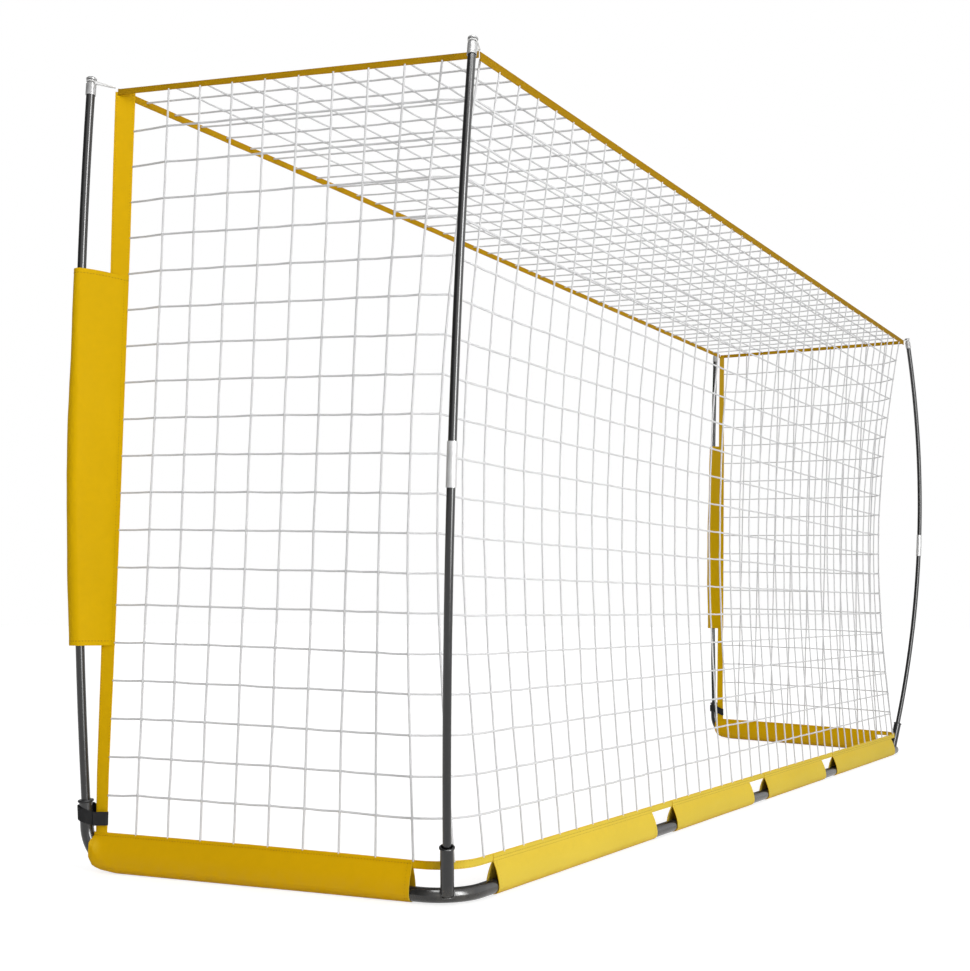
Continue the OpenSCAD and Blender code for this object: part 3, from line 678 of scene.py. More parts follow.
def tape_finish(name, colour, rib=2.2, wear=0.2, bump=0.35, depth=0.0004, rough=0.6, gloss=0.03):
    values = {"Colour": colour, "Rib": rib, "Wear": wear}
    return finish(name, "Ribbed tape", values, bump, depth, Roughness=rough, Specular_IOR_Level=gloss)


# Dark brown thread that paints the seams' crease shadow along every stitch row.
def thread_and_seam_shade_finish():
    return tape_finish("yellow_thread", fabric().thread, bump=0.2, depth=0.0003, rough=0.7, gloss=0.15)


def twine_finish(name, colour, pitch, braid, bump, rough, gloss):
    values = {"Colour": colour, "Pitch": pitch, "Braid": braid}
    return finish(name, "Strands", values, bump, 0.0004, Roughness=rough, Specular_IOR_Level=gloss)


# ------------------------------------------------------------- camera and net


class GOAL_OT_camera(bpy.types.Operator):
    """Sets the camera that looks along the back at the near rear corner"""

    bl_idname = "goal.camera"
    bl_label = "Camera"

    lens, sensor = 45.972, 36  # in millimetres
    place = (3.7150, 1.8517, 0.5822)
    look = (-0.83193, -0.54550, 0.10161)

    def execute(self, context):
        data = bpy.data.cameras.new("camera")
        data.sensor_fit, data.sensor_width, data.lens = "HORIZONTAL", self.sensor, self.lens
        camera = bpy.data.objects.new("camera", data)
        camera.location = self.place
        camera.rotation_euler = Vector(self.look).to_track_quat("-Z", "Y").to_euler()
        context.scene.collection.objects.link(camera)
        context.scene.camera = camera
        return {"FINISHED"}


BEND_ARC = BEND_R * (math.pi / 2 - SPLAY) / 2  # from a bend's tangent to its middle
WEB_FOOT = 870  # rear edge of the webbing at the hem
SIDE_CELL = (WEB_FOOT - BEND_LEG + BEND_ARC) / SIDE_CELLS
BACK_CELL = 2 * (BEND_CENTRE.x + BEND_ARC) / BACK_CELLS
NET_BOW = 72  # how far the net's corner is drawn forward, halfway up
NET_LIFT = 8  # how far the rows are drawn up at the corner
PULL_REACH, PULL_FALL = 1.8, 1.3  # columns that the corner's pull reaches, and how it fades
NET_CORNER = Vector((-22, -15, -9))  # from the roof's corner to the net's own
ROOF_SHARE = 0.934  # share of the roof's side that the side net hangs from
BACK_FLARE = 1.028  # the back's columns spread by this much from hem to roof
BACK_CURVE = 0.8  # how sharply the back's bow grows towards the corners
ROOF_SAG = 5
ROOF_INSET, ROOF_DROP, ROOF_REAR = 1.5, 2.4, 2.5  # the roof net's strings keep clear of the tapes
HEM_RISE = [(100, 0), (250, 2), (500, 4), (895, 4.6)]  # the side hem is drawn up towards the front


def swell(t):
    return NET_BOW * math.sin(math.pi * t)


def corner_pull(k, t):
    """Pull of the corner on the net, k columns from it: forward and, high up, upward."""
    near = math.exp(-((k / PULL_REACH) ** PULL_FALL))
    return Vector((0, -swell(t) * near, NET_LIFT * math.sin(math.pi * t**3) * near))


def net_column(t):
    """Corner column of the net, which is pulled forward between hem and roof."""
    bend = math.pi / 4 + SPLAY / 2
    low = BEND_CENTRE + Vector((math.cos(bend), math.sin(bend), 0)) * BEND_R + UP * WEB_LOW
    return lerp(low, TOP_REAR + NET_CORNER, t) + corner_pull(0, t)


def roof_side(u):
    return lerp(TOP_REAR, TOP_FRONT, u)


def side_knot(k, t):
    """Knot of a side net in column k from the rear corner, t from hem to roof."""
    if k == 0:
        return net_column(t)
    if k == SIDE_CELLS:
        return web_rear(lerp(WEB_LOW, WEB_HIGH, t))
    foot = BEND_LEG + SIDE_CELL * k - BEND_ARC
    low = side_at(foot, 0, WEB_LOW + along_table(HEM_RISE, foot))
    high = roof_side(ROOF_SHARE * k / SIDE_CELLS) - UP * (SIDE_TAPE + CLEAR)
    return lerp(low, high, t) + corner_pull(k, t)


def back_knot(n, t):
    """Knot of the back net in column n, t from hem to roof."""
    if n in (0, BACK_CELLS):
        p = net_column(t)
        return p if n else Vector((-p.x, p.y, p.z))
    x = (n - BACK_CELLS / 2) * BACK_CELL
    pull = math.cosh(BACK_CURVE * x / BEND_CENTRE.x) / math.cosh(BACK_CURVE)
    y = lerp(CORNER.y, -TAPE_T, t) - swell(t) * min(pull, 1)
    lift = corner_pull(min(n, BACK_CELLS - n), t).z
    return Vector((x * lerp(1, BACK_FLARE, t), y, lerp(WEB_LOW, TOP_REAR.z - BACK_TAPE - CLEAR, t) + lift))


def roof_knot(n, u):
    """Roof knot in column n, u from the rear edge to the crossbar."""
    edge, across = roof_side(u), 2 * n / BACK_CELLS - 1
    sag = ROOF_SAG * math.sin(math.pi * u) * (1 - abs(across) ** 4)
    y = lerp(-ROOF_REAR, TOP_FRONT.y + ROOF_INSET, u)
    return Vector((across * (edge.x - ROOF_INSET), y, edge.z - ROOF_DROP - sag))


KNOT_REACH = 4.2  # half of a knot's length along the string
STRING_DROOP = 0.6  # how far a level string hangs between two knots
STRING_STRAY = 0.9
MID_THIN = 0.97  # a string's thickness halfway between knots
STRAND_SHIFT = 31.0  # each string starts elsewhere in its lay


def tie_net(name, side, knots, guide, tucked, first, seed):
    """Ties one panel's strings through a grid of knots, thicker at each crossing.

    Knots on the edges don't stray. tucked is how far the ends of columns and rows
    reach past their last knots, and first the first column with a string of its own."""
    net = bpy.context.scene.goal_net
    wander, r, knot = net.jitter * 1000, net.string * 500, net.knot * 500
    m, n = len(knots) - 1, len(knots[0]) - 1

    def strayed(i, j):
        stray = noise.noise_vector(Vector((i * 1.7 + seed, j * 2.3, seed * 3.1)))
        return knots[i][j] + stray * (wander if 0 < i < m and 0 < j < n else 0)

    grid = [[strayed(i, j) for j in range(n + 1)] for i in range(m + 1)]
    lines = [(grid[i], tucked[0]) for i in range(first, m)]
    lines += [([column[j] for column in grid], tucked[1]) for j in range(1, n)]
    shape = Shape(*TWINE_MARKS)
    for index, (line, tuck) in enumerate(lines):
        stops = []
        for k, (p, q) in enumerate(zip(line, line[1:])):
            d = (q - p).normalized()
            droop = UP * (-STRING_DROOP * abs(1 - abs(d.z)))
            stray = noise.noise_vector(Vector((index * 3.7, k * 1.9, seed))) * STRING_STRAY
            stops.append((p - d * tuck, r) if tuck and not k else (p, knot))
            stops += [(p + d * KNOT_REACH, r), (lerp(p, q, 0.5) + droop + stray, r * MID_THIN)]
            stops.append((q - d * KNOT_REACH, r))
        stops.append((q + d * tuck, r if tuck else knot))
        path, radii = zip(*stops)
        lay_twine(shape, path, radii, guide, start=index * STRAND_SHIFT)
    material = twine_finish("net_twine", net.colour, 9.0, 0.0, 0.5, 0.7, 0.15)
    shape.build(f"{name}_strings", side, material, "goal", "net", [name])


class GOAL_OT_net(bpy.types.Operator):
    """Ties the two side nets, the back net and the roof net"""

    bl_idname = "goal.net"
    bl_label = "Net"

    tuck = 3  # how far the upright strings reach into hem and tape
    flush = 0.01

    def execute(self, context):
        heights = [j / ROWS for j in range(ROWS + 1)]
        for tail, side in SIDES.items():
            knots = [[side_knot(k, t) for t in heights] for k in range(SIDE_CELLS + 1)]
            tie_net(f"side_net_{tail}", side, knots, OUTWARD, (self.tuck, self.flush), 0, 3 + side)
        knots = [[back_knot(n, t) for t in heights] for n in range(BACK_CELLS + 1)]
        tie_net("back_net", 1, knots, REARWARD, (self.tuck, 0), 1, 7)
        shares = [ROOF_SHARE * k / SIDE_CELLS for k in range(SIDE_CELLS)] + [1]
        knots = [[roof_knot(n, u) for u in shares] for n in range(BACK_CELLS + 1)]
        tie_net("roof_net", 1, knots, UP, (self.flush, self.flush), 1, 9)
        return {"FINISHED"}


# ---------------------------------------------------------------------- cords


CORD_R = 1.5
CAP_LEN = 43
CROWN_LEN = 16
TIP_COVER = CAP_LEN - CROWN_LEN - 4
NECK_UP = 6  # from the crown's foot to the cord's level
LOOP_SHORT = 3.6  # the loop's far end stops this far and a cord's width short of the corner
LOOP_END_R = 2.2


def tip_frame(bow):
    """Foot and direction of a pole's cap."""
    half = TIP_COVER / bow.r / 2
    z = bow.along(bow.angle + half)
    return bow.point(bow.angle + half) - z * (TIP_COVER / 2), z


def cord_route(bow, d, corner):
    """Closed route round a cap's neck and out to the net's corner."""
    foot, z = tip_frame(bow)
    neck = foot + z * (CAP_LEN - CROWN_LEN + NECK_UP)
    out = (corner - neck).normalized()
    end = corner - out * (2 * CORD_R + LOOP_SHORT)
    x = (out - z * out.dot(z)).normalized()
    y = z.cross(x)
    span = end - neck
    flat = (span - z * span.dot(z)).length
    r = (d - 3) / 2 + CORD_R + CLEAR
    rise = span.dot(z) / flat
    loop = belt((0, 0), r, (flat, 0), LOOP_END_R, 18, 8)
    return [neck + x * p[0] + y * p[1] + z * (rise * max(0, p[0] - r)) for p in loop]


class GOAL_OT_cords(bpy.types.Operator):
    """Lays the four cord loops from the pole caps to the net's corners"""

    bl_idname = "goal.cords"
    bl_label = "Corner cords"

    def execute(self, context):
        material = twine_finish("white_cord", context.scene.goal_net.cord, 4.0, 1.0, 0.25, 0.6, 0.2)
        ends = {"rear": (REAR_BOW, REAR_POLE_D, TOP_REAR), "front": (FRONT_BOW, FRONT_POLE_D, TOP_FRONT)}
        for end, (bow, d, corner) in ends.items():
            route = cord_route(bow, d, corner)
            loop = route + route[:2]
            for tail, side in SIDES.items():
                cord, body = f"{end}_cord_{tail}", f"{end}_pole_{tail}"
                shape = Shape(*TWINE_MARKS)
                lay_twine(shape, loop, [CORD_R] * len(loop), tip_frame(bow)[1], sides=8)
                piece = shape.build(f"{cord}_loop", side, material, body, "cord", [cord])
        return {"FINISHED"}


# ---------------------------------------------------------- webbing and tapes


WEB_SET, WEB_HEAD = 28, 45  # nominal widths at the hem and at the roof, which set its place and twist
WEB_ACROSS = Vector((-0.66, 0.75, 0)).normalized()  # direction of the webbing's width at the roof
WEB_INSET = 8  # from the roof's corner to the webbing's front edge
WEB_PULL = [(83, -3.5), (220, 0), (497, 0), (1437, 9.8), (1630, 11.6), (1776, 11.9)]
WEB_WIDTH = [(100, 31), (497, 33), (1437, 44), (1776, 46.2)]
WEB_TUCK = 8  # length of webbing sewn into the hem and behind the tape


def web_across(z):
    foot, head = side_at(-WEB_SET, 0, 0) - side_at(0, 0, 0), WEB_ACROSS * WEB_HEAD
    return lerp(foot, head, (z - WEB_LOW) / (WEB_HIGH - WEB_LOW)).normalized()


def web_front(z):
    """Front edge of the webbing, which the pole's pocket pulls forward at the top."""
    foot, head = side_at(WEB_FOOT + WEB_SET, 0, WEB_LOW), TOP_FRONT + WEB_ACROSS * WEB_INSET
    head = Vector((head.x, head.y, WEB_HIGH))
    edge = lerp(foot, head, (z - WEB_LOW) / (WEB_HIGH - WEB_LOW))
    return edge - web_across(z) * along_table(WEB_PULL, z)


def web_rear(z):
    return web_front(z) + web_across(z) * along_table(WEB_WIDTH, z)


class GOAL_OT_webbing(bpy.types.Operator):
    """Lays the two front webbings, which twist from hem to roof"""

    bl_idname = "goal.webbing"
    bl_label = "Front webbings"

    steps = 72
    sway, sway_size = 1.2, 160  # how far it strays sideways, and in what length
    flat = (40, 1722)  # mean width and length
    seams = (0.1, 0.9)  # places of the seams, as shares of the width

    def execute(self, context):
        material = tape_finish("yellow_webbing", fabric().webbing, rib=2.6, wear=0.12, rough=0.55)
        for tail, side in SIDES.items():
            shape, seam, stations = Shape(*CLOTH_MARKS), Shape(), []
            for i in range(self.steps + 1):
                z = lerp(WEB_LOW - WEB_TUCK, WEB_HIGH + WEB_TUCK, i / self.steps)
                low, high = web_front(z), web_rear(z)
                wave = self.sway * noise.noise(Vector((z / self.sway_size, side * 3, 0)))
                wave *= math.sin(math.pi * i / self.steps)
                out = (high - low).cross(UP).normalized()
                stations.append((low, high, out, out * wave))
            lay_band(shape, [(low + sway, high + sway, out) for low, high, out, sway in stations], TAPE_T)
            for share in self.seams:
                line = [lerp(low, high, share) + sway for low, high, _, sway in stations]
                sew_faces(seam, line, [out for _, _, out, _ in stations], 0.44 * TAPE_T, TAPE_STITCH)
            sewn_sheet(
                shape, seam, f"front_webbing_{tail}", ("strip", "stitches"), side, material,
                "webbing",
            )
        return {"FINISHED"}


class GOAL_OT_tapes(bpy.types.Operator):
    """Hangs the side, rear and crossbar tapes on the net's top edges"""

    bl_idname = "goal.tapes"
    bl_label = "Top tapes"

    step = 22
    wave_size = 90
    seams = (0.16, 0.84)  # places of the seams, as shares of the width
    end_gap = 3  # a side tape stops this far from the roof's corners

    def hang(self, node, start, end, width, out, side, seed, cloth="tape"):
        """Hangs one tape from a straight line, in small waves between its held ends."""
        tape = tape_finish(f"yellow_{cloth}", getattr(fabric(), cloth))
        shape, seam, stations = Shape(*CLOTH_MARKS), Shape(), []
        steps = round((end - start).length / self.step)
        for i in range(steps + 1):
            p = lerp(start, end, i / steps)
            free = 0.9 if 0 < i < steps else 0
            wave = noise.noise_vector(Vector((p.x / self.wave_size, p.y / self.wave_size, seed))) * free
            low = p - UP * width + out * (wave.x * 1.2) + UP * wave.y * 0.5
            stations.append((low, p + out * (wave.z * 0.3), out))
        lay_band(shape, stations, TAPE_T)
        for share in self.seams:
            line = [lerp(low, high, share) for low, high, _ in stations]
            sew_faces(seam, line, [out] * len(line), 0.43 * TAPE_T, TAPE_STITCH)
        sewn_sheet(shape, seam, node, ("band", "band_stitches"), side, tape, "tape")

    def hang_level(self, node, end, width, out, seed, cloth="tape"):
        """Hangs a tape across the goal, up to end and its mirror image."""
        self.hang(node, Vector((-end.x, end.y, end.z)), end, width, out, 1, seed, cloth)

    def execute(self, context):
        along = (TOP_FRONT - TOP_REAR).normalized()
        out, gap = along.cross(UP).normalized() * -1, along * self.end_gap
        for tail, side in SIDES.items():
            self.hang(f"side_tape_{tail}", TOP_REAR + gap, TOP_FRONT - gap, SIDE_TAPE, out, side, side + 4)
        rear = Vector((TOP_REAR.x - TAPE_T - CLEAR, -TAPE_T, TOP_REAR.z))
        # The back's tape takes the darker tape colour, a painted shade.
        self.hang_level("back_tape", rear, BACK_TAPE, REARWARD, 11, "rear_tape")
        front = Vector((TOP_FRONT.x - 2 * TAPE_T - CLEAR, TOP_FRONT.y, TOP_FRONT.z + 3))
        self.hang_level("crossbar_tape", front, FRONT_TAPE, -REARWARD, 13)
        return {"FINISHED"}


# --------------------------------------------------------- pockets and straps


# Radius of the pocket's loop round the pole at each height.
POCKET_LOOSE = [(506, 23), (842, 23.5), (1023, 20.5), (1173, 17), (1383, 15.2)]
POLE_LIFT = 50  # travel of a front pole, which the pocket leaves room for


class GOAL_OT_pockets(bpy.types.Operator):
    """Wraps the yellow pockets round the front poles and over the webbing"""

    bl_idname = "goal.pockets"
    bl_label = "Pole pockets"

    arc_steps = 22
    web_off = 1.9  # from the webbing's middle to the cloth's at the front edge
    rear_off = 1.7  # the same at the rear edge
    seam_share = 0.22  # how far forward of its rear edge the cloth is sewn flat
    hollow_share = 0.6  # how far the cloth draws in from the webbing towards the straight line
    bridge = (0.12, 0.25, 0.38, 0.5, 0.62, 0.74, 0.85, 0.94)  # steps from the seam to the loop
    top_drop = 16  # the top edge slants down by this much to the rear
    folds = [(2.6, (70, 70, 190), 0), (0.9, (22, 22, 60), 4)]
    cloth, turned = 1.1, 0.7  # the cloth, and how much thicker its hems are
    hem = [0, 0.002, 0.012, 0.016]  # rows of a hem, as shares of the height
    rows = 60

    def section(self, level):
        """Middle points of the cloth at one level, 0 to 1, from one rear edge round to the other."""
        z0 = lerp(POCKET_LOW, POCKET_HIGH, level)
        lift = FRONT_BOW.start * POLE_LIFT
        pole = lerp(FRONT_BOW.at_height(z0), FRONT_BOW.at_height(z0 - lift.z) + lift, 0.5)
        front, rear = web_front(z0), web_rear(z0)
        r = along_table(POCKET_LOOSE, z0) - 0.5
        back = (rear - front).normalized()
        out = Vector((back.y, -back.x, 0))
        loop = belt((pole.x, pole.y), r, (front.x, front.y), 2.0, self.arc_steps, 2)
        loop = [Vector((*p, 0)) for p in loop[: self.arc_steps + 1]]
        sides = [out, -out] if (loop[0] - loop[-1]).dot(out) > 0 else [-out, out]
        legs = []
        for anchor, o in zip((loop[0], loop[-1]), sides):
            joint = Vector((front.x, front.y, 0)) + o * self.web_off
            end = Vector((rear.x, rear.y, 0)) + o * self.rear_off - back * 0.6
            sewn = lerp(end, joint, self.seam_share)
            hollow = lerp(joint, lerp(sewn, anchor, 0.5), self.hollow_share)
            curve = [lerp(lerp(sewn, hollow, f), lerp(hollow, anchor, f), f) for f in self.bridge]
            legs.append([end, sewn, *curve])
        down = self.top_drop * max(0, level * 6 - 5)
        reach = (rear - pole).length

        def lowered(p):
            share = Vector((p.x - pole.x, p.y - pole.y, 0)).length / reach
            return Vector((p.x, p.y, z0 - down * share**1.5))

        return [lowered(p) for p in legs[0] + loop + legs[1][::-1]]

    def execute(self, context):
        material = cloth_finish("yellow_pocket_cloth", fabric().pocket, fabric().pocket)
        last, span = self.hem[-1], 0.968
        levels = self.hem + [last + span * i / self.rows for i in range(1, self.rows)]
        levels += [0.984, 0.988, 0.998, 1]
        sections = [self.section(level) for level in levels]
        n = len(sections[0])

        def ease(k, i):
            across = clamp((min(i, n - 1 - i) - 1) / 4)
            return across * min(1, 0.35 + 3 * min(levels[k], 1 - levels[k]))

        def thick(k, i):
            return self.cloth + (self.turned if min(levels[k], 1 - levels[k]) < 0.0125 else 0)

        for tail, side in SIDES.items():
            rows = crumple(sections, False, self.folds, 5 + side, ease)
            shape, seam = Shape(*CLOTH_MARKS), Shape()
            normals = lay_sheet(shape, rows, thick)
            for k in (2, len(rows) - 3):
                sew_faces(seam, rows[k], normals[k], 0.92, HEM_STITCH)
            for i in (1, n - 2):
                sew_faces(seam, [row[i] for row in rows], [line[i] for line in normals], 0.58)
            sewn_sheet(
                shape, seam, f"pole_pocket_{tail}", ("cloth", "stitches"), side, material, "pocket",
            )
        return {"FINISHED"}


STRAP_Z = 132
STRAP_T = 1.5


def resample(points, step):
    """Evenly spaced points round a closed line in a plane."""
    out, left = [], 0.0
    for p, q in zip(points, points[1:] + points[:1]):
        span = math.dist(p, q)
        while left < span:
            out.append((lerp(p[0], q[0], left / span), lerp(p[1], q[1], left / span)))
            left += step
        left -= span
    return out


class GOAL_OT_straps(bpy.types.Operator):
    """Fastens the black straps round the upturns and the webbing"""

    bl_idname = "goal.straps"
    bl_label = "Hook-and-loop straps"

    # How far each face of the strap climbs or drops, by its share of the way to the webbing.
    outer_drop = [(-0.4, 0), (0.5, -14), (1, -14)]
    inner_drop = [(-0.4, 0), (0.2, 4), (0.6, -5), (1, -14)]
    tube_gap, web_gap = 3.6, 2.4  # from the tube and from the webbing to the strap's middle
    web_inset = 3.5  # from the webbing's rear edge to the centre of the strap's bend
    step = 2.0
    lap = 26  # the free end lies over the strap for this many steps
    ramp = 6  # steps in which it climbs onto the strap
    lifted = 3  # steps of its tip that stand off
    across = (-15, -13.6, -5, 5, 13.6, 15)

    def route(self, length):
        """Points of the strap round the tube and the webbing, from its tip round to its free end."""
        loop = resample(belt((0, 0), TUBE_R + self.tube_gap, (length, 0), self.web_gap, 30, 10), self.step)
        outer = [k for k, (_, y) in enumerate(loop) if y >= 0]
        start = min(outer, key=lambda k: abs(loop[k][0] / length - 0.5))
        if loop[(start + 1) % len(loop)][0] < loop[start][0]:
            loop, start = loop[::-1], len(loop) - 1 - start
        loop = loop[start:] + loop[:start]
        return loop + loop[: self.lap]

    def execute(self, context):
        material = tape_finish("black_strap", fabric().strap, 1.6, 0.5, 0.5, 0.0005, 0.8, 0.2)
        axis = UPTURN_RIM - UPTURN_UP * ((UPTURN_RIM.z - STRAP_Z) / UPTURN_UP.z)
        web = web_rear(STRAP_Z)
        reach = Vector((web.x - axis.x, web.y - axis.y, 0))
        length, ahead = reach.length - self.web_inset, reach.normalized()
        aside = Vector((-ahead.y, ahead.x, 0))
        if aside.dot(OUTWARD) < 0:
            aside = -aside
        rows = []
        for k, (x, y) in enumerate(self.route(length)):
            share = x / length
            drop = along_table(self.outer_drop if y > 0 else self.inner_drop, share)
            off = STRAP_T * clamp((self.lap + self.ramp - k) / self.ramp)
            off += max(0, self.lifted - k) ** 2 * 0.25
            if abs(y) > 1e-6:
                away = Vector((x - clamp(x, 0, length), y, 0)).normalized()
            else:
                away = Vector((1 if x > 0 else -1, 0, 0))
            at = Vector((axis.x, axis.y, 0)) + ahead * (x + away.x * off) + aside * (y + away.y * off)
            lean = UPTURN_UP / UPTURN_UP.z * (1 - clamp(share))
            places = [at + lean * (w + drop) for w in self.across]
            rows.append([Vector((p.x, p.y, STRAP_Z + drop + w)) for p, w in zip(places, self.across)])
        for tail, side in SIDES.items():
            shape = Shape(*CLOTH_MARKS)
            lay_sheet(shape, rows, lambda k, i: STRAP_T)
            piece = shape.build(f"strap_{tail}_webbing", side, material, "goal", "strap", [f"strap_{tail}"])
        return {"FINISHED"}


# ------------------------------------------------------------ sleeves and hems


COVER = 1.2  # gap from a tube to the middle of its sleeve's cloth
SLEEVE_R = TUBE_R + COVER
SLEEVE_FLAT = 180  # length of a sleeve's section
SLEEVE_FOLDS = [(2.2, (150, 150, 60), 0), (0.8, (34, 34, 26), 6)]
FLOOR_GAP = 0.6  # the cloth's middle stays this high above the ground
TOP_STEP, FOLD_AT = 1.3, 0.45  # how the hem's folded edge rounds off above the seam
KNEE_AT = 0.42  # height of the cloth's knee between the tube and the seam, as a share
SEAM_AT = 3  # place of the seam in each half of a sleeve's section
UNDER_AT = 16  # the places from here on lie under the tube
HEM_FOLD = (0, 1, 10, 11.5)  # rows of the hem at an open end, from the edge
HEM_EXTRA = 0.5  # how much thicker the cloth is there
BAG_STEPS = (0.1, 0.22, 0.34, 0.46, 0.58, 0.7, 0.8, 0.9, 1)
ROUND_STEPS = (0, -14, -28, -44, -62, -80)  # degrees


def flank(seam, top, half, fold, low, high, shift):
    """One side of a sleeve's section as (out, z) points, from the hem's top down to the underside.

    low and high are the heights of the tube's lower and upper face there, shift its sideways place."""
    foot, crown = low + SLEEVE_R, max(low + SLEEVE_R, high + COVER - SLEEVE_R)
    edge = half + fold
    line = [(0.5 * half, top), (edge, top - TOP_STEP), (edge, lerp(seam, top, FOLD_AT)), (half, seam)]
    touch = (shift + SLEEVE_R, crown)
    knee = (touch[0], lerp(crown, seam, KNEE_AT))
    for f in BAG_STEPS:
        g = 1 - f
        line.append(tuple(g**2 * a + 2 * f * g * b + f * f * c for a, b, c in zip((half, seam), knee, touch)))
    for a in map(math.radians, ROUND_STEPS):
        z = max(FLOOR_GAP + 0.02, foot + SLEEVE_R * math.sin(a))
        line.append((shift * foot / crown + SLEEVE_R * math.cos(a), z))
    return line


def sleeve_ring(seam, top, half, fold, low, high, shift=0.0):
    """Whole section of a sleeve, from its outer top down, under the tube and up its inner side."""
    inner = flank(seam, top, half, fold, low, high, -shift)
    return flank(seam, top, half, fold, low, high, shift) + [(-x, z) for x, z in inner[::-1]]


def sew_sleeve(shape, rows, normals, thick, seams):
    """Stitches along the hem's seams on both faces and near both open ends."""
    n, half = len(rows[0]), len(rows) // 2
    for i in seams:
        for j in (i, n - 1 - i):
            outer = normals[half][j].dot(rows[half][j] - rows[half][n - 1 - j]) > 0
            rise = (1 if outer else -1) * thick / 2
            line = [row[j] + normals[k][j] * rise for k, row in enumerate(rows)]
            sew(shape, line, [row[j] * (1 if outer else -1) for row in normals], HEM_STITCH)
    for k in (2, len(rows) - 3):
        middle = sum(rows[k], Vector((0, 0, 0))) / n
        row = list(zip(rows[k], normals[k]))[2:-2]
        outs = [out * (1 if out.dot(p - middle) > 0 else -1) for p, out in row]
        sew(shape, [p + out * (thick / 2 + 0.25) for (p, _), out in zip(row, outs)], outs, END_STITCH)


def make_sleeve(node, side, rows, closed, last, seed, seams, length):
    """Folds, lays and sews one sleeve from its sections, the last few of which are hem."""
    n, count = len(rows[0]), len(rows)
    thick = fabric().cloth * 1000

    def ease(k, i):
        i = min(i, n - 1 - i)
        open_end = 1 - 0.75 * (k < 4 or k > count - last)
        return open_end * (0 if i <= SEAM_AT else min(1, (i - SEAM_AT) / 4)) * (0.15 if i > UNDER_AT else 1)

    rows = crumple(rows, closed, SLEEVE_FOLDS, seed, ease)
    rows = [[Vector((p.x, p.y, max(p.z, FLOOR_GAP))) for p in row] for row in rows]
    heights = [[p.z for p in row] for row in rows]

    def hem(k, i):
        turned = (k < 3 or k > count - 4) and SEAM_AT < i < n - 1 - SEAM_AT and heights[k][i] > 6
        return thick + (HEM_EXTRA if turned else 0)

    if not closed:
        rows = [row[1:-1] for row in rows]
    shape, seam = Shape(*CLOTH_MARKS), Shape()
    normals = lay_sheet(shape, rows, hem, ring=closed)
    sew_sleeve(seam, rows, normals, thick, seams)
    forms, flat = ("cloth", "stitches"), (SLEEVE_FLAT, length)
    sewn_sheet(shape, seam, node, forms, side, sleeve_finish(), "sleeve")


class GOAL_OT_side_sleeves(bpy.types.Operator):
    """Makes the base sleeves of the two sides, with the boot round each upturn"""

    bl_idname = "goal.side_sleeves"
    bl_label = "Side sleeves"

    seam_z = 75.5
    top_z = HEM_TOP - 0.6
    half_width = 0.75  # half the hem's width at its seam, and how much wider it is above
    first_run, runs = 24, 34
    boot_start = UPTURN_T - 4
    boot_end = (898, 901)  # reach of the boot's front at the hem's top and at its foot
    boot_steps = (0.12, 0.25, 0.38, 0.5, 0.62, 0.74, 0.84, 0.885, 0.9, 0.985, 1)
    underside = [(831, 0.3), (850, 2.5), (872, 5), (885, 9), (893, 13.5), (898, 19), (901, 25)]
    length = 800

    def slice(self, t_top, t_foot):
        """Section through the sleeve on a line that slants from the hem to its underside."""
        centre_z = TUBE_Z + UPTURN_R
        low = along_table(self.underside, t_foot)
        rise = along_table(HEM_RISE, t_top)
        top, seam = self.top_z + rise, self.seam_z + rise

        def at(z):
            return lerp(t_top, t_foot, (top - z) / (top - low))

        def inside(z):
            return math.hypot(max(0, at(z) - UPTURN_T), centre_z - z) > UPTURN_R - TUBE_R

        high = 2 * TUBE_R
        while high < seam - 4 and inside(high):
            high += 0.5
        shift = math.tan(UPTURN_ROLL) * ((low + high) / 2 - TUBE_Z) if t_foot > UPTURN_T else 0
        ring = sleeve_ring(seam, top, self.half_width, self.half_width, low, high, shift)
        return [side_at(at(z), n, z) for n, z in ring]

    def execute(self, context):
        start = CORNER_GAP
        places = [start + d for d in HEM_FOLD]
        places += [lerp(start + self.first_run, self.boot_start, i / self.runs) for i in range(self.runs + 1)]
        stations = [(t, t) for t in places]
        stations += [[lerp(self.boot_start, end, q) for end in self.boot_end] for q in self.boot_steps]
        sections = [self.slice(*station) for station in stations]
        for tail, side in SIDES.items():
            node, tubes = f"side_sleeve_{tail}", [f"side_tube_{tail}", f"corner_tube_{tail}"]
            make_sleeve(node, side, sections, True, 4, 21 + side, (SEAM_AT,), self.length)
        return {"FINISHED"}


class GOAL_OT_back_sleeves(bpy.types.Operator):
    """Makes the four sleeves along the back, between the notches"""

    bl_idname = "goal.back_sleeves"
    bl_label = "Back sleeves"

    step = 22
    half_width = 1.3  # half the gap that the hem strip fills
    fold = 0.05

    def execute(self, context):
        ring = sleeve_ring(HEM_LOW + 1, HEM_TOP - 0.8, self.half_width, self.fold, 0, 2 * TUBE_R)
        edges = [-BACK_END, *(x for c in NOTCHES for x in (c - NOTCH_W / 2, c + NOTCH_W / 2)), BACK_END]
        for number, (x0, x1) in enumerate(zip(edges[::2], edges[1::2])):
            count = round((x1 - x0) / self.step)
            xs = [x0 + d for d in HEM_FOLD]
            xs += [lerp(x0 + self.step, x1 - self.step, i / count) for i in range(count + 1)]
            xs += [x1 - d for d in reversed(HEM_FOLD)]
            sections = [[Vector((x, CORNER.y + out, z)) for out, z in ring] for x in xs]
            node, tubes = f"back_sleeve_{number + 1}", ["back_tube_l", "back_tube_r"]
            make_sleeve(node, 1, sections, False, 5, 31 + number, (1, SEAM_AT - 1), x1 - x0)
        return {"FINISHED"}


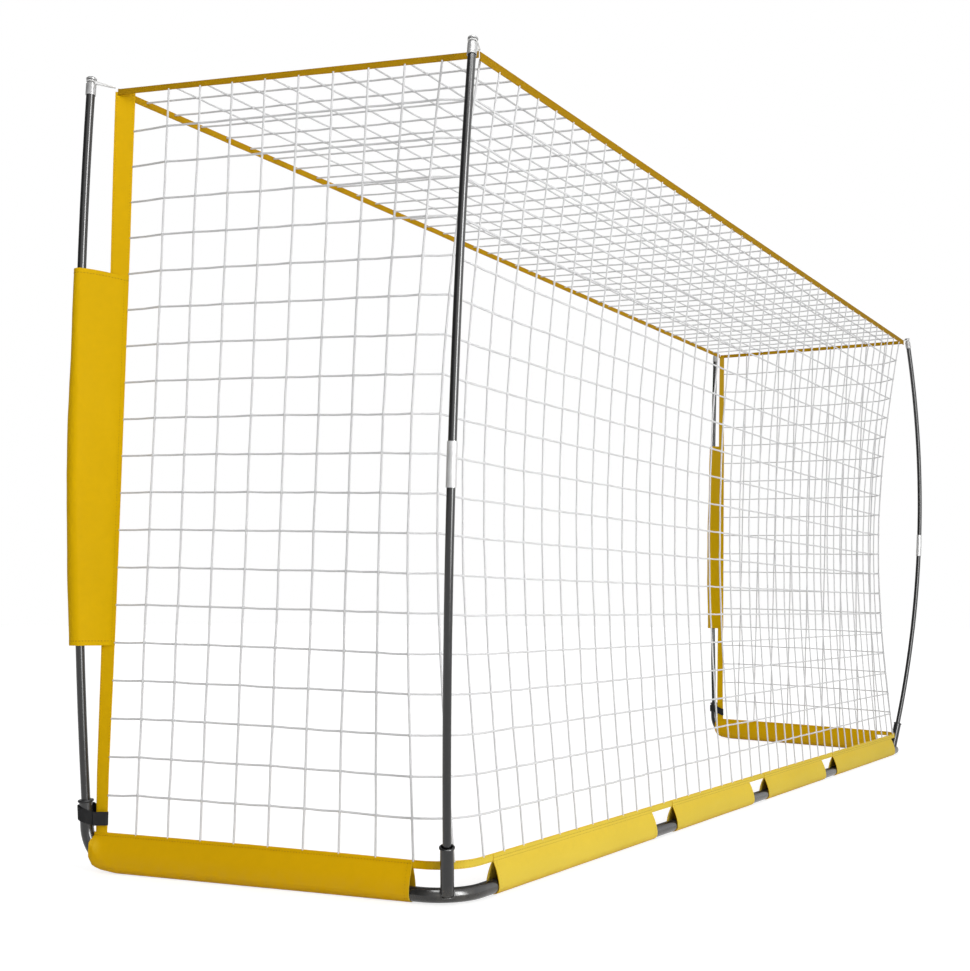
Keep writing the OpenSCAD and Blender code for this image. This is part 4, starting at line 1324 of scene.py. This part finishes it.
class GOAL_OT_hems(bpy.types.Operator):
    """Lays the hem strips over the notches and round the rear corners"""

    bl_idname = "goal.hems"
    bl_label = "Hem strips"

    back_thick, corner_thick = 1.2, 2.0
    back_steps, bend_steps, end_steps = 120, 18, 3
    ripple = 0.7

    def strip(self, node, line, outs, thick, side, length):
        """Lays one strip along a line on the ground, at the hem's height."""
        shape, seam = Shape(*CLOTH_MARKS), Shape()
        low, high = UP * (HEM_LOW + 0.1), UP * (HEM_TOP - 0.1)
        lay_band(shape, [(p + low, p + high, out) for p, out in zip(line, outs)], thick)
        for z in (HEM_LOW + 2.6, HEM_TOP - 3):
            sew_faces(seam, [p + UP * z for p in line], outs, 0.42 * thick)
        forms, flat = ("strip", "strip_stitches"), (HEM_TOP - HEM_LOW, length)
        sewn_sheet(shape, seam, node, forms, side, sleeve_finish(), "sleeve")

    def corner_line(self):
        """Points of a corner's hem and the way it faces at each, from the side round to the back."""
        n = self.end_steps
        line = [side_at(lerp(CORNER_GAP - CLEAR, BEND_LEG, i / n)) for i in range(n)]
        outs = [OUTWARD] * n
        for i in range(self.bend_steps + 1):
            a = lerp(SPLAY, math.pi / 2, i / self.bend_steps)
            outs.append(Vector((math.cos(a), math.sin(a), 0)))
            line.append(BEND_CENTRE + outs[-1] * BEND_R)
        line += [Vector((lerp(BEND_CENTRE.x, BACK_END + CLEAR, i / n), CORNER.y, 0)) for i in range(1, n + 1)]
        return line, outs + [REARWARD] * n

    def execute(self, context):
        xs = [lerp(-BACK_END, BACK_END, i / self.back_steps) for i in range(self.back_steps + 1)]
        line = [Vector((x, CORNER.y, 0)) for x in xs]
        self.strip("back_hem", line, [REARWARD] * len(xs), self.back_thick, 1, 2 * BACK_END)
        for tail, side in SIDES.items():
            line, outs = self.corner_line()
            for k, (p, out) in enumerate(zip(line, outs)):
                wave = self.ripple * noise.noise(Vector((p.x / 30, p.y / 30, side)))
                line[k] = p + out * (wave * math.sin(math.pi * k / (len(line) - 1)))
            self.strip(f"corner_hem_{tail}", line, outs, self.corner_thick, side, run(line))
        return {"FINISHED"}


# ------------------------------------------------------ weld beads and finishes


def grey(value):
    return (value, value, value)


# Each coating's colour or its property, bare metal, smoothness, wear, scale of its orange
# peel, bump and plain sockets.
BARE = (0.35, 0.35, 0.36)
COATED, DULL = {"Specular_IOR_Level": 0.6}, {"Specular_IOR_Level": 0.35}
COATINGS = {
    "tube_coating": ("steel", grey(0.06), 0.13, 0.25, 260.0, 0.03, COATED),
    "socket_coating": ("steel", grey(0.06), 0.13, 0.25, 260.0, 0.03, COATED),
    "collar_plastic": ((0.009, 0.009, 0.010), grey(0.03), 0.4, 0.2, 520.0, 0.12, DULL),
    "zinc_plate": ((0.46, 0.47, 0.48), BARE, 0.3, 0.2, 260.0, 0.05, {"Metallic": 0.9}),
    "button_plate": ((0.6, 0.6, 0.62), BARE, 0.2, 0.3, 260.0, 0.03, {"Metallic": 1.0}),
    "pole_gloss": ("pole", grey(0.05), 0.16, 0.15, 60.0, 0.005, {"Specular_IOR_Level": 0.65}),
    "ferrule_silver": ("ferrule", grey(0.6), 0.28, 0.3, 420.0, 0.02, {"Metallic": 0.3}),
    "cap_silver": ("cap", grey(0.6), 0.2, 0.3, 420.0, 0.02, {"Metallic": 0.12}),
}


def coated_finish(name):
    colour, bare, smooth, wear, peel, bump, shader = COATINGS[name]
    if isinstance(colour, str):
        colour = getattr(bpy.context.scene.goal_metal, colour)
    values = {"Colour": colour, "Bare": bare, "Smooth": smooth, "Wear": wear, "Peel": peel}
    return finish(name, "Coated surface", values, bump, 0.0002, **shader)


class GOAL_OT_weld_beads(bpy.types.Operator):
    """Runs a weld bead round the foot of each rear socket"""

    bl_idname = "goal.weld_beads"
    bl_label = "Weld beads"

    socket_r = 14.2
    bead_r, beat, stray = 1.7, 0.28, 0.2  # the bead, and how much it swells with each pass and at random
    steps = 72
    search = 0.25  # step of the search down the socket's wall for the tube

    def foot(self, axis, wall):
        """Point below a wall's top where the socket meets the bent tube, or its middle height."""
        centre, depth = BEND_CENTRE + UP * TUBE_Z, 0
        while (wall - axis * depth).z > TUBE_Z - 1.5:
            p = wall - axis * depth
            flat = Vector((p.x - centre.x, p.y - centre.y, 0)).normalized() * BEND_R
            if (p - centre - flat).length < TUBE_R + 0.4:
                break
            depth += self.search
        return wall - axis * depth

    def execute(self, context):
        axis, x, n = REAR_BOW.start, REAR_BOW.inward.normalized(), self.steps
        y = axis.cross(x)
        turns = [2 * math.pi * i / n for i in range(n)]
        walls = [REAR_BOW.rim + (x * math.cos(a) + y * math.sin(a)) * self.socket_r for a in turns]
        ring = [self.foot(axis, wall) for wall in walls]
        smooth = [
            (ring[i - 2] + ring[i - 1] * 2 + ring[i] * 3 + ring[(i + 1) % n] * 2 + ring[(i + 2) % n]) / 9
            for i in range(n)
        ]
        material = coated_finish("socket_coating")
        for tail, side in SIDES.items():
            shape = Shape(*TWINE_MARKS)
            strays = [self.stray * noise.noise(Vector((i * 0.7, side, 0))) for i in range(n)]
            radii = [self.bead_r + self.beat * math.sin(i * 1.9) + stray for i, stray in enumerate(strays)]
            lay_twine(shape, smooth + smooth[:2], radii + radii[:2], axis, sides=8)
            shape.build(f"weld_bead_{tail}", side, material, "goal", "socket_steel", sharp=80)
        return {"FINISHED"}


class GOAL_OT_metal(bpy.types.Operator):
    """Gives the tubes, sockets, poles, caps, ferrules, spigots and buttons their finishes"""

    bl_idname = "goal.metal"
    bl_label = "Metal finishes"

    finishes = {
        "side_tube": "tube_coating",
        "corner_tube": "tube_coating",
        "back_tube": "tube_coating",
        "rear_socket": "socket_coating",
        "front_collar": "collar_plastic",
        "joint_spigots": "zinc_plate",
        "snap_button": "button_plate",
        "rear_pole": "pole_gloss",
        "front_pole": "pole_gloss",
        "rear_ferrule": "ferrule_silver",
        "front_ferrule": "ferrule_silver",
        "rear_cap": "cap_silver",
        "front_cap": "cap_silver",
    }

    def execute(self, context):
        for name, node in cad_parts.items():
            for start, coating in self.finishes.items():
                if name.startswith(start):
                    if not node.material_slots:
                        raise RuntimeError(f"{name} has no material slot")
                    for slot in node.material_slots:
                        slot.material = coated_finish(coating)
        return {"FINISHED"}


# ------------------------------------------------------------------------ stage


class GOAL_OT_stage(bpy.types.Operator):
    """Lays the pale floor and sets the sky and the lamps"""

    bl_idname = "goal.stage"
    bl_label = "Stage"

    half = 40  # reach of the floor, in metres
    shown = 0.55  # share of the lamps' light, and so of the shadows, in the floor as it is seen
    # Place, aim and size of each lamp, in metres. Only reflections show the cards.
    key_lamp = ((2.8, 5.3, 2.4), (1.3, 0, 1.1), (1.1, 3.8))
    fill_lamp = ((-3.5, -6.0, 3.2), (0, 0, 0.8), (4.0, 3.0))
    tall_card = ((2.3, 3.6, 2.25), (1.67, 0.45, 2.25), (1.5, 4.6))
    top_card = ((2.45, 1.1, 4.0), (1.55, 0.4, 0), (2.0, 2.0))
    top_share = 0.7  # power of the top card, as a share of the tall one's

    def execute(self, context):
        values = context.scene.goal_stage
        lamps = [self.lamp(context, "key_lamp", values.key), self.lamp(context, "fill_lamp", values.fill)]
        tall = self.lamp(context, "tall_card", values.card)
        top = self.lamp(context, "top_card", self.top_share * values.card)
        tall.visible_diffuse = top.visible_diffuse = False
        self.floor(context, values, lamps)
        self.sky(context, values.sky)
        context.scene.view_settings.view_transform = "Standard"
        return {"FINISHED"}

    def lamp(self, context, name, power):
        place, aim, size = getattr(self, name)
        data = bpy.data.lights.new(name, "AREA")
        data.shape, data.size, data.size_y, data.energy = "RECTANGLE", size[0], size[1], power
        lamp = bpy.data.objects.new(name, data)
        lamp.location = place
        lamp.visible_camera = False
        lamp.rotation_euler = (Vector(aim) - Vector(place)).to_track_quat("-Z", "Y").to_euler()
        context.scene.collection.objects.link(lamp)
        return lamp

    def floor(self, context, values, lamps):
        """Floor that shows even and pale, with the goal's shadow, whatever the lamps throw on it."""
        mesh = bpy.data.meshes.new("floor")
        corners = [(-1, -1), (1, -1), (1, 1), (-1, 1)]
        mesh.from_pydata([(x * self.half, y * self.half, -0.0005) for x, y in corners], [], [(0, 1, 2, 3)])
        floor = bpy.data.objects.new("floor", mesh)
        context.scene.collection.objects.link(floor)
        material, n, skin = new_material("floor_paint")
        mesh.materials.append(material)
        place = n.place()
        path = n.wires(n.add("ShaderNodeLightPath"))
        seen = n.math("MAXIMUM", path["Is Camera Ray"], path["Is Glossy Ray"])
        tone = n.spread(n.noise(place, 0.8), 0.3, 0.7, 0.985, 1.0)
        share = tone * n.spread(seen, 0.0, 1.0, 1.0, self.shown)
        n.put(skin["Base Color"], n.toned((*values.floor, 1), share))
        light = values.sky
        for lamp in lamps:
            light = light + self.thrown(n, place, lamp)
        glow = values.level - light * (self.shown * values.floor[0])
        n.put(skin["Emission Strength"], seen * n.math("MAXIMUM", glow, 0.0))
        plain = {"Roughness": 0.9, "Specular IOR Level": 0.1, "Emission Color": (1, 1, 1, 1)}
        for label, value in plain.items():
            n.put(skin[label], value)

    def thrown(self, n, place, lamp):
        """Light that a lamp throws on each point of the floor, as a pure white floor would show it."""
        away = n.one(0, "ShaderNodeVectorMath", {0: place, 1: lamp.location}, operation="SUBTRACT")
        ahead = Vector((0, 0, -1))
        ahead.rotate(lamp.rotation_euler)
        facing = n.one("Value", "ShaderNodeVectorMath", {0: away, 1: ahead}, operation="DOT_PRODUCT")
        far = n.one("Value", "ShaderNodeVectorMath", {0: away}, operation="LENGTH")
        strength = lamp.data.energy * lamp.location.z / math.pi**2
        return n.math("MAXIMUM", facing, 0.0) * strength / n.math("POWER", far, 4.0)

    def sky(self, context, strength):
        """Even white sky to the camera, dimmer to the rest, that reflections see brighter at the rear."""
        world = bpy.data.worlds.new("sky")
        world.use_nodes = True
        n = Nodes(world.node_tree)
        back = n.tree.nodes["Background"].inputs
        back["Color"].default_value = (1, 1, 1, 1)
        path = n.wires(n.add("ShaderNodeLightPath"))
        rear = n.part("Y", n.one("Generated", "ShaderNodeTexCoord"))
        soft = n.spread(rear, -1.0, 1.0, 0.7 * strength, 1.3 * strength)
        shown = n.spread(rear, -0.2, 0.5, 0.2, 1.6)
        lit = n.one(0, "ShaderNodeMix", {0: path["Is Glossy Ray"], 2: soft, 3: shown})
        n.put(back["Strength"], n.math("MAXIMUM", path["Is Camera Ray"], lit))
        context.scene.world = world


class GOAL_PT_sidebar(bpy.types.Panel):
    """Lists the steps that make the goal"""

    bl_label = "Football goal"
    bl_idname = "GOAL_PT_sidebar"
    bl_space_type = "VIEW_3D"
    bl_region_type = "UI"
    bl_category = "Goal"

    def draw(self, context):
        for group in GROUPS_OF_VALUES:
            box = self.layout.box()
            values = getattr(context.scene, group)
            for name in values.bl_rna.properties.keys():
                if name not in ("rna_type", "name"):
                    box.prop(values, name)
        for step in STEPS:
            self.layout.operator(step.bl_idname)


GROUPS_OF_VALUES = {
    "goal_fabric": GOAL_PG_fabric,
    "goal_net": GOAL_PG_net,
    "goal_metal": GOAL_PG_metal,
    "goal_stage": GOAL_PG_stage,
}
STEPS = (
    GOAL_OT_camera,
    GOAL_OT_cords,
    GOAL_OT_metal,
    GOAL_OT_weld_beads,
    GOAL_OT_net,
    GOAL_OT_tapes,
    GOAL_OT_webbing,
    GOAL_OT_pockets,
    GOAL_OT_straps,
    GOAL_OT_side_sleeves,
    GOAL_OT_back_sleeves,
    GOAL_OT_hems,
    GOAL_OT_stage,
)
CLASSES = (*GROUPS_OF_VALUES.values(), *STEPS, GOAL_PT_sidebar)


def register():
    for each in CLASSES:
        bpy.utils.register_class(each)
    for name, group in GROUPS_OF_VALUES.items():
        setattr(bpy.types.Scene, name, bpy.props.PointerProperty(type=group))


def unregister():
    for name in GROUPS_OF_VALUES:
        delattr(bpy.types.Scene, name)
    for each in reversed(CLASSES):
        bpy.utils.unregister_class(each)


def make_goal():
    register()
    for step in STEPS:
        family, name = step.bl_idname.split(".")
        getattr(getattr(bpy.ops, family), name)()


if __name__ == "__main__":
    make_goal()
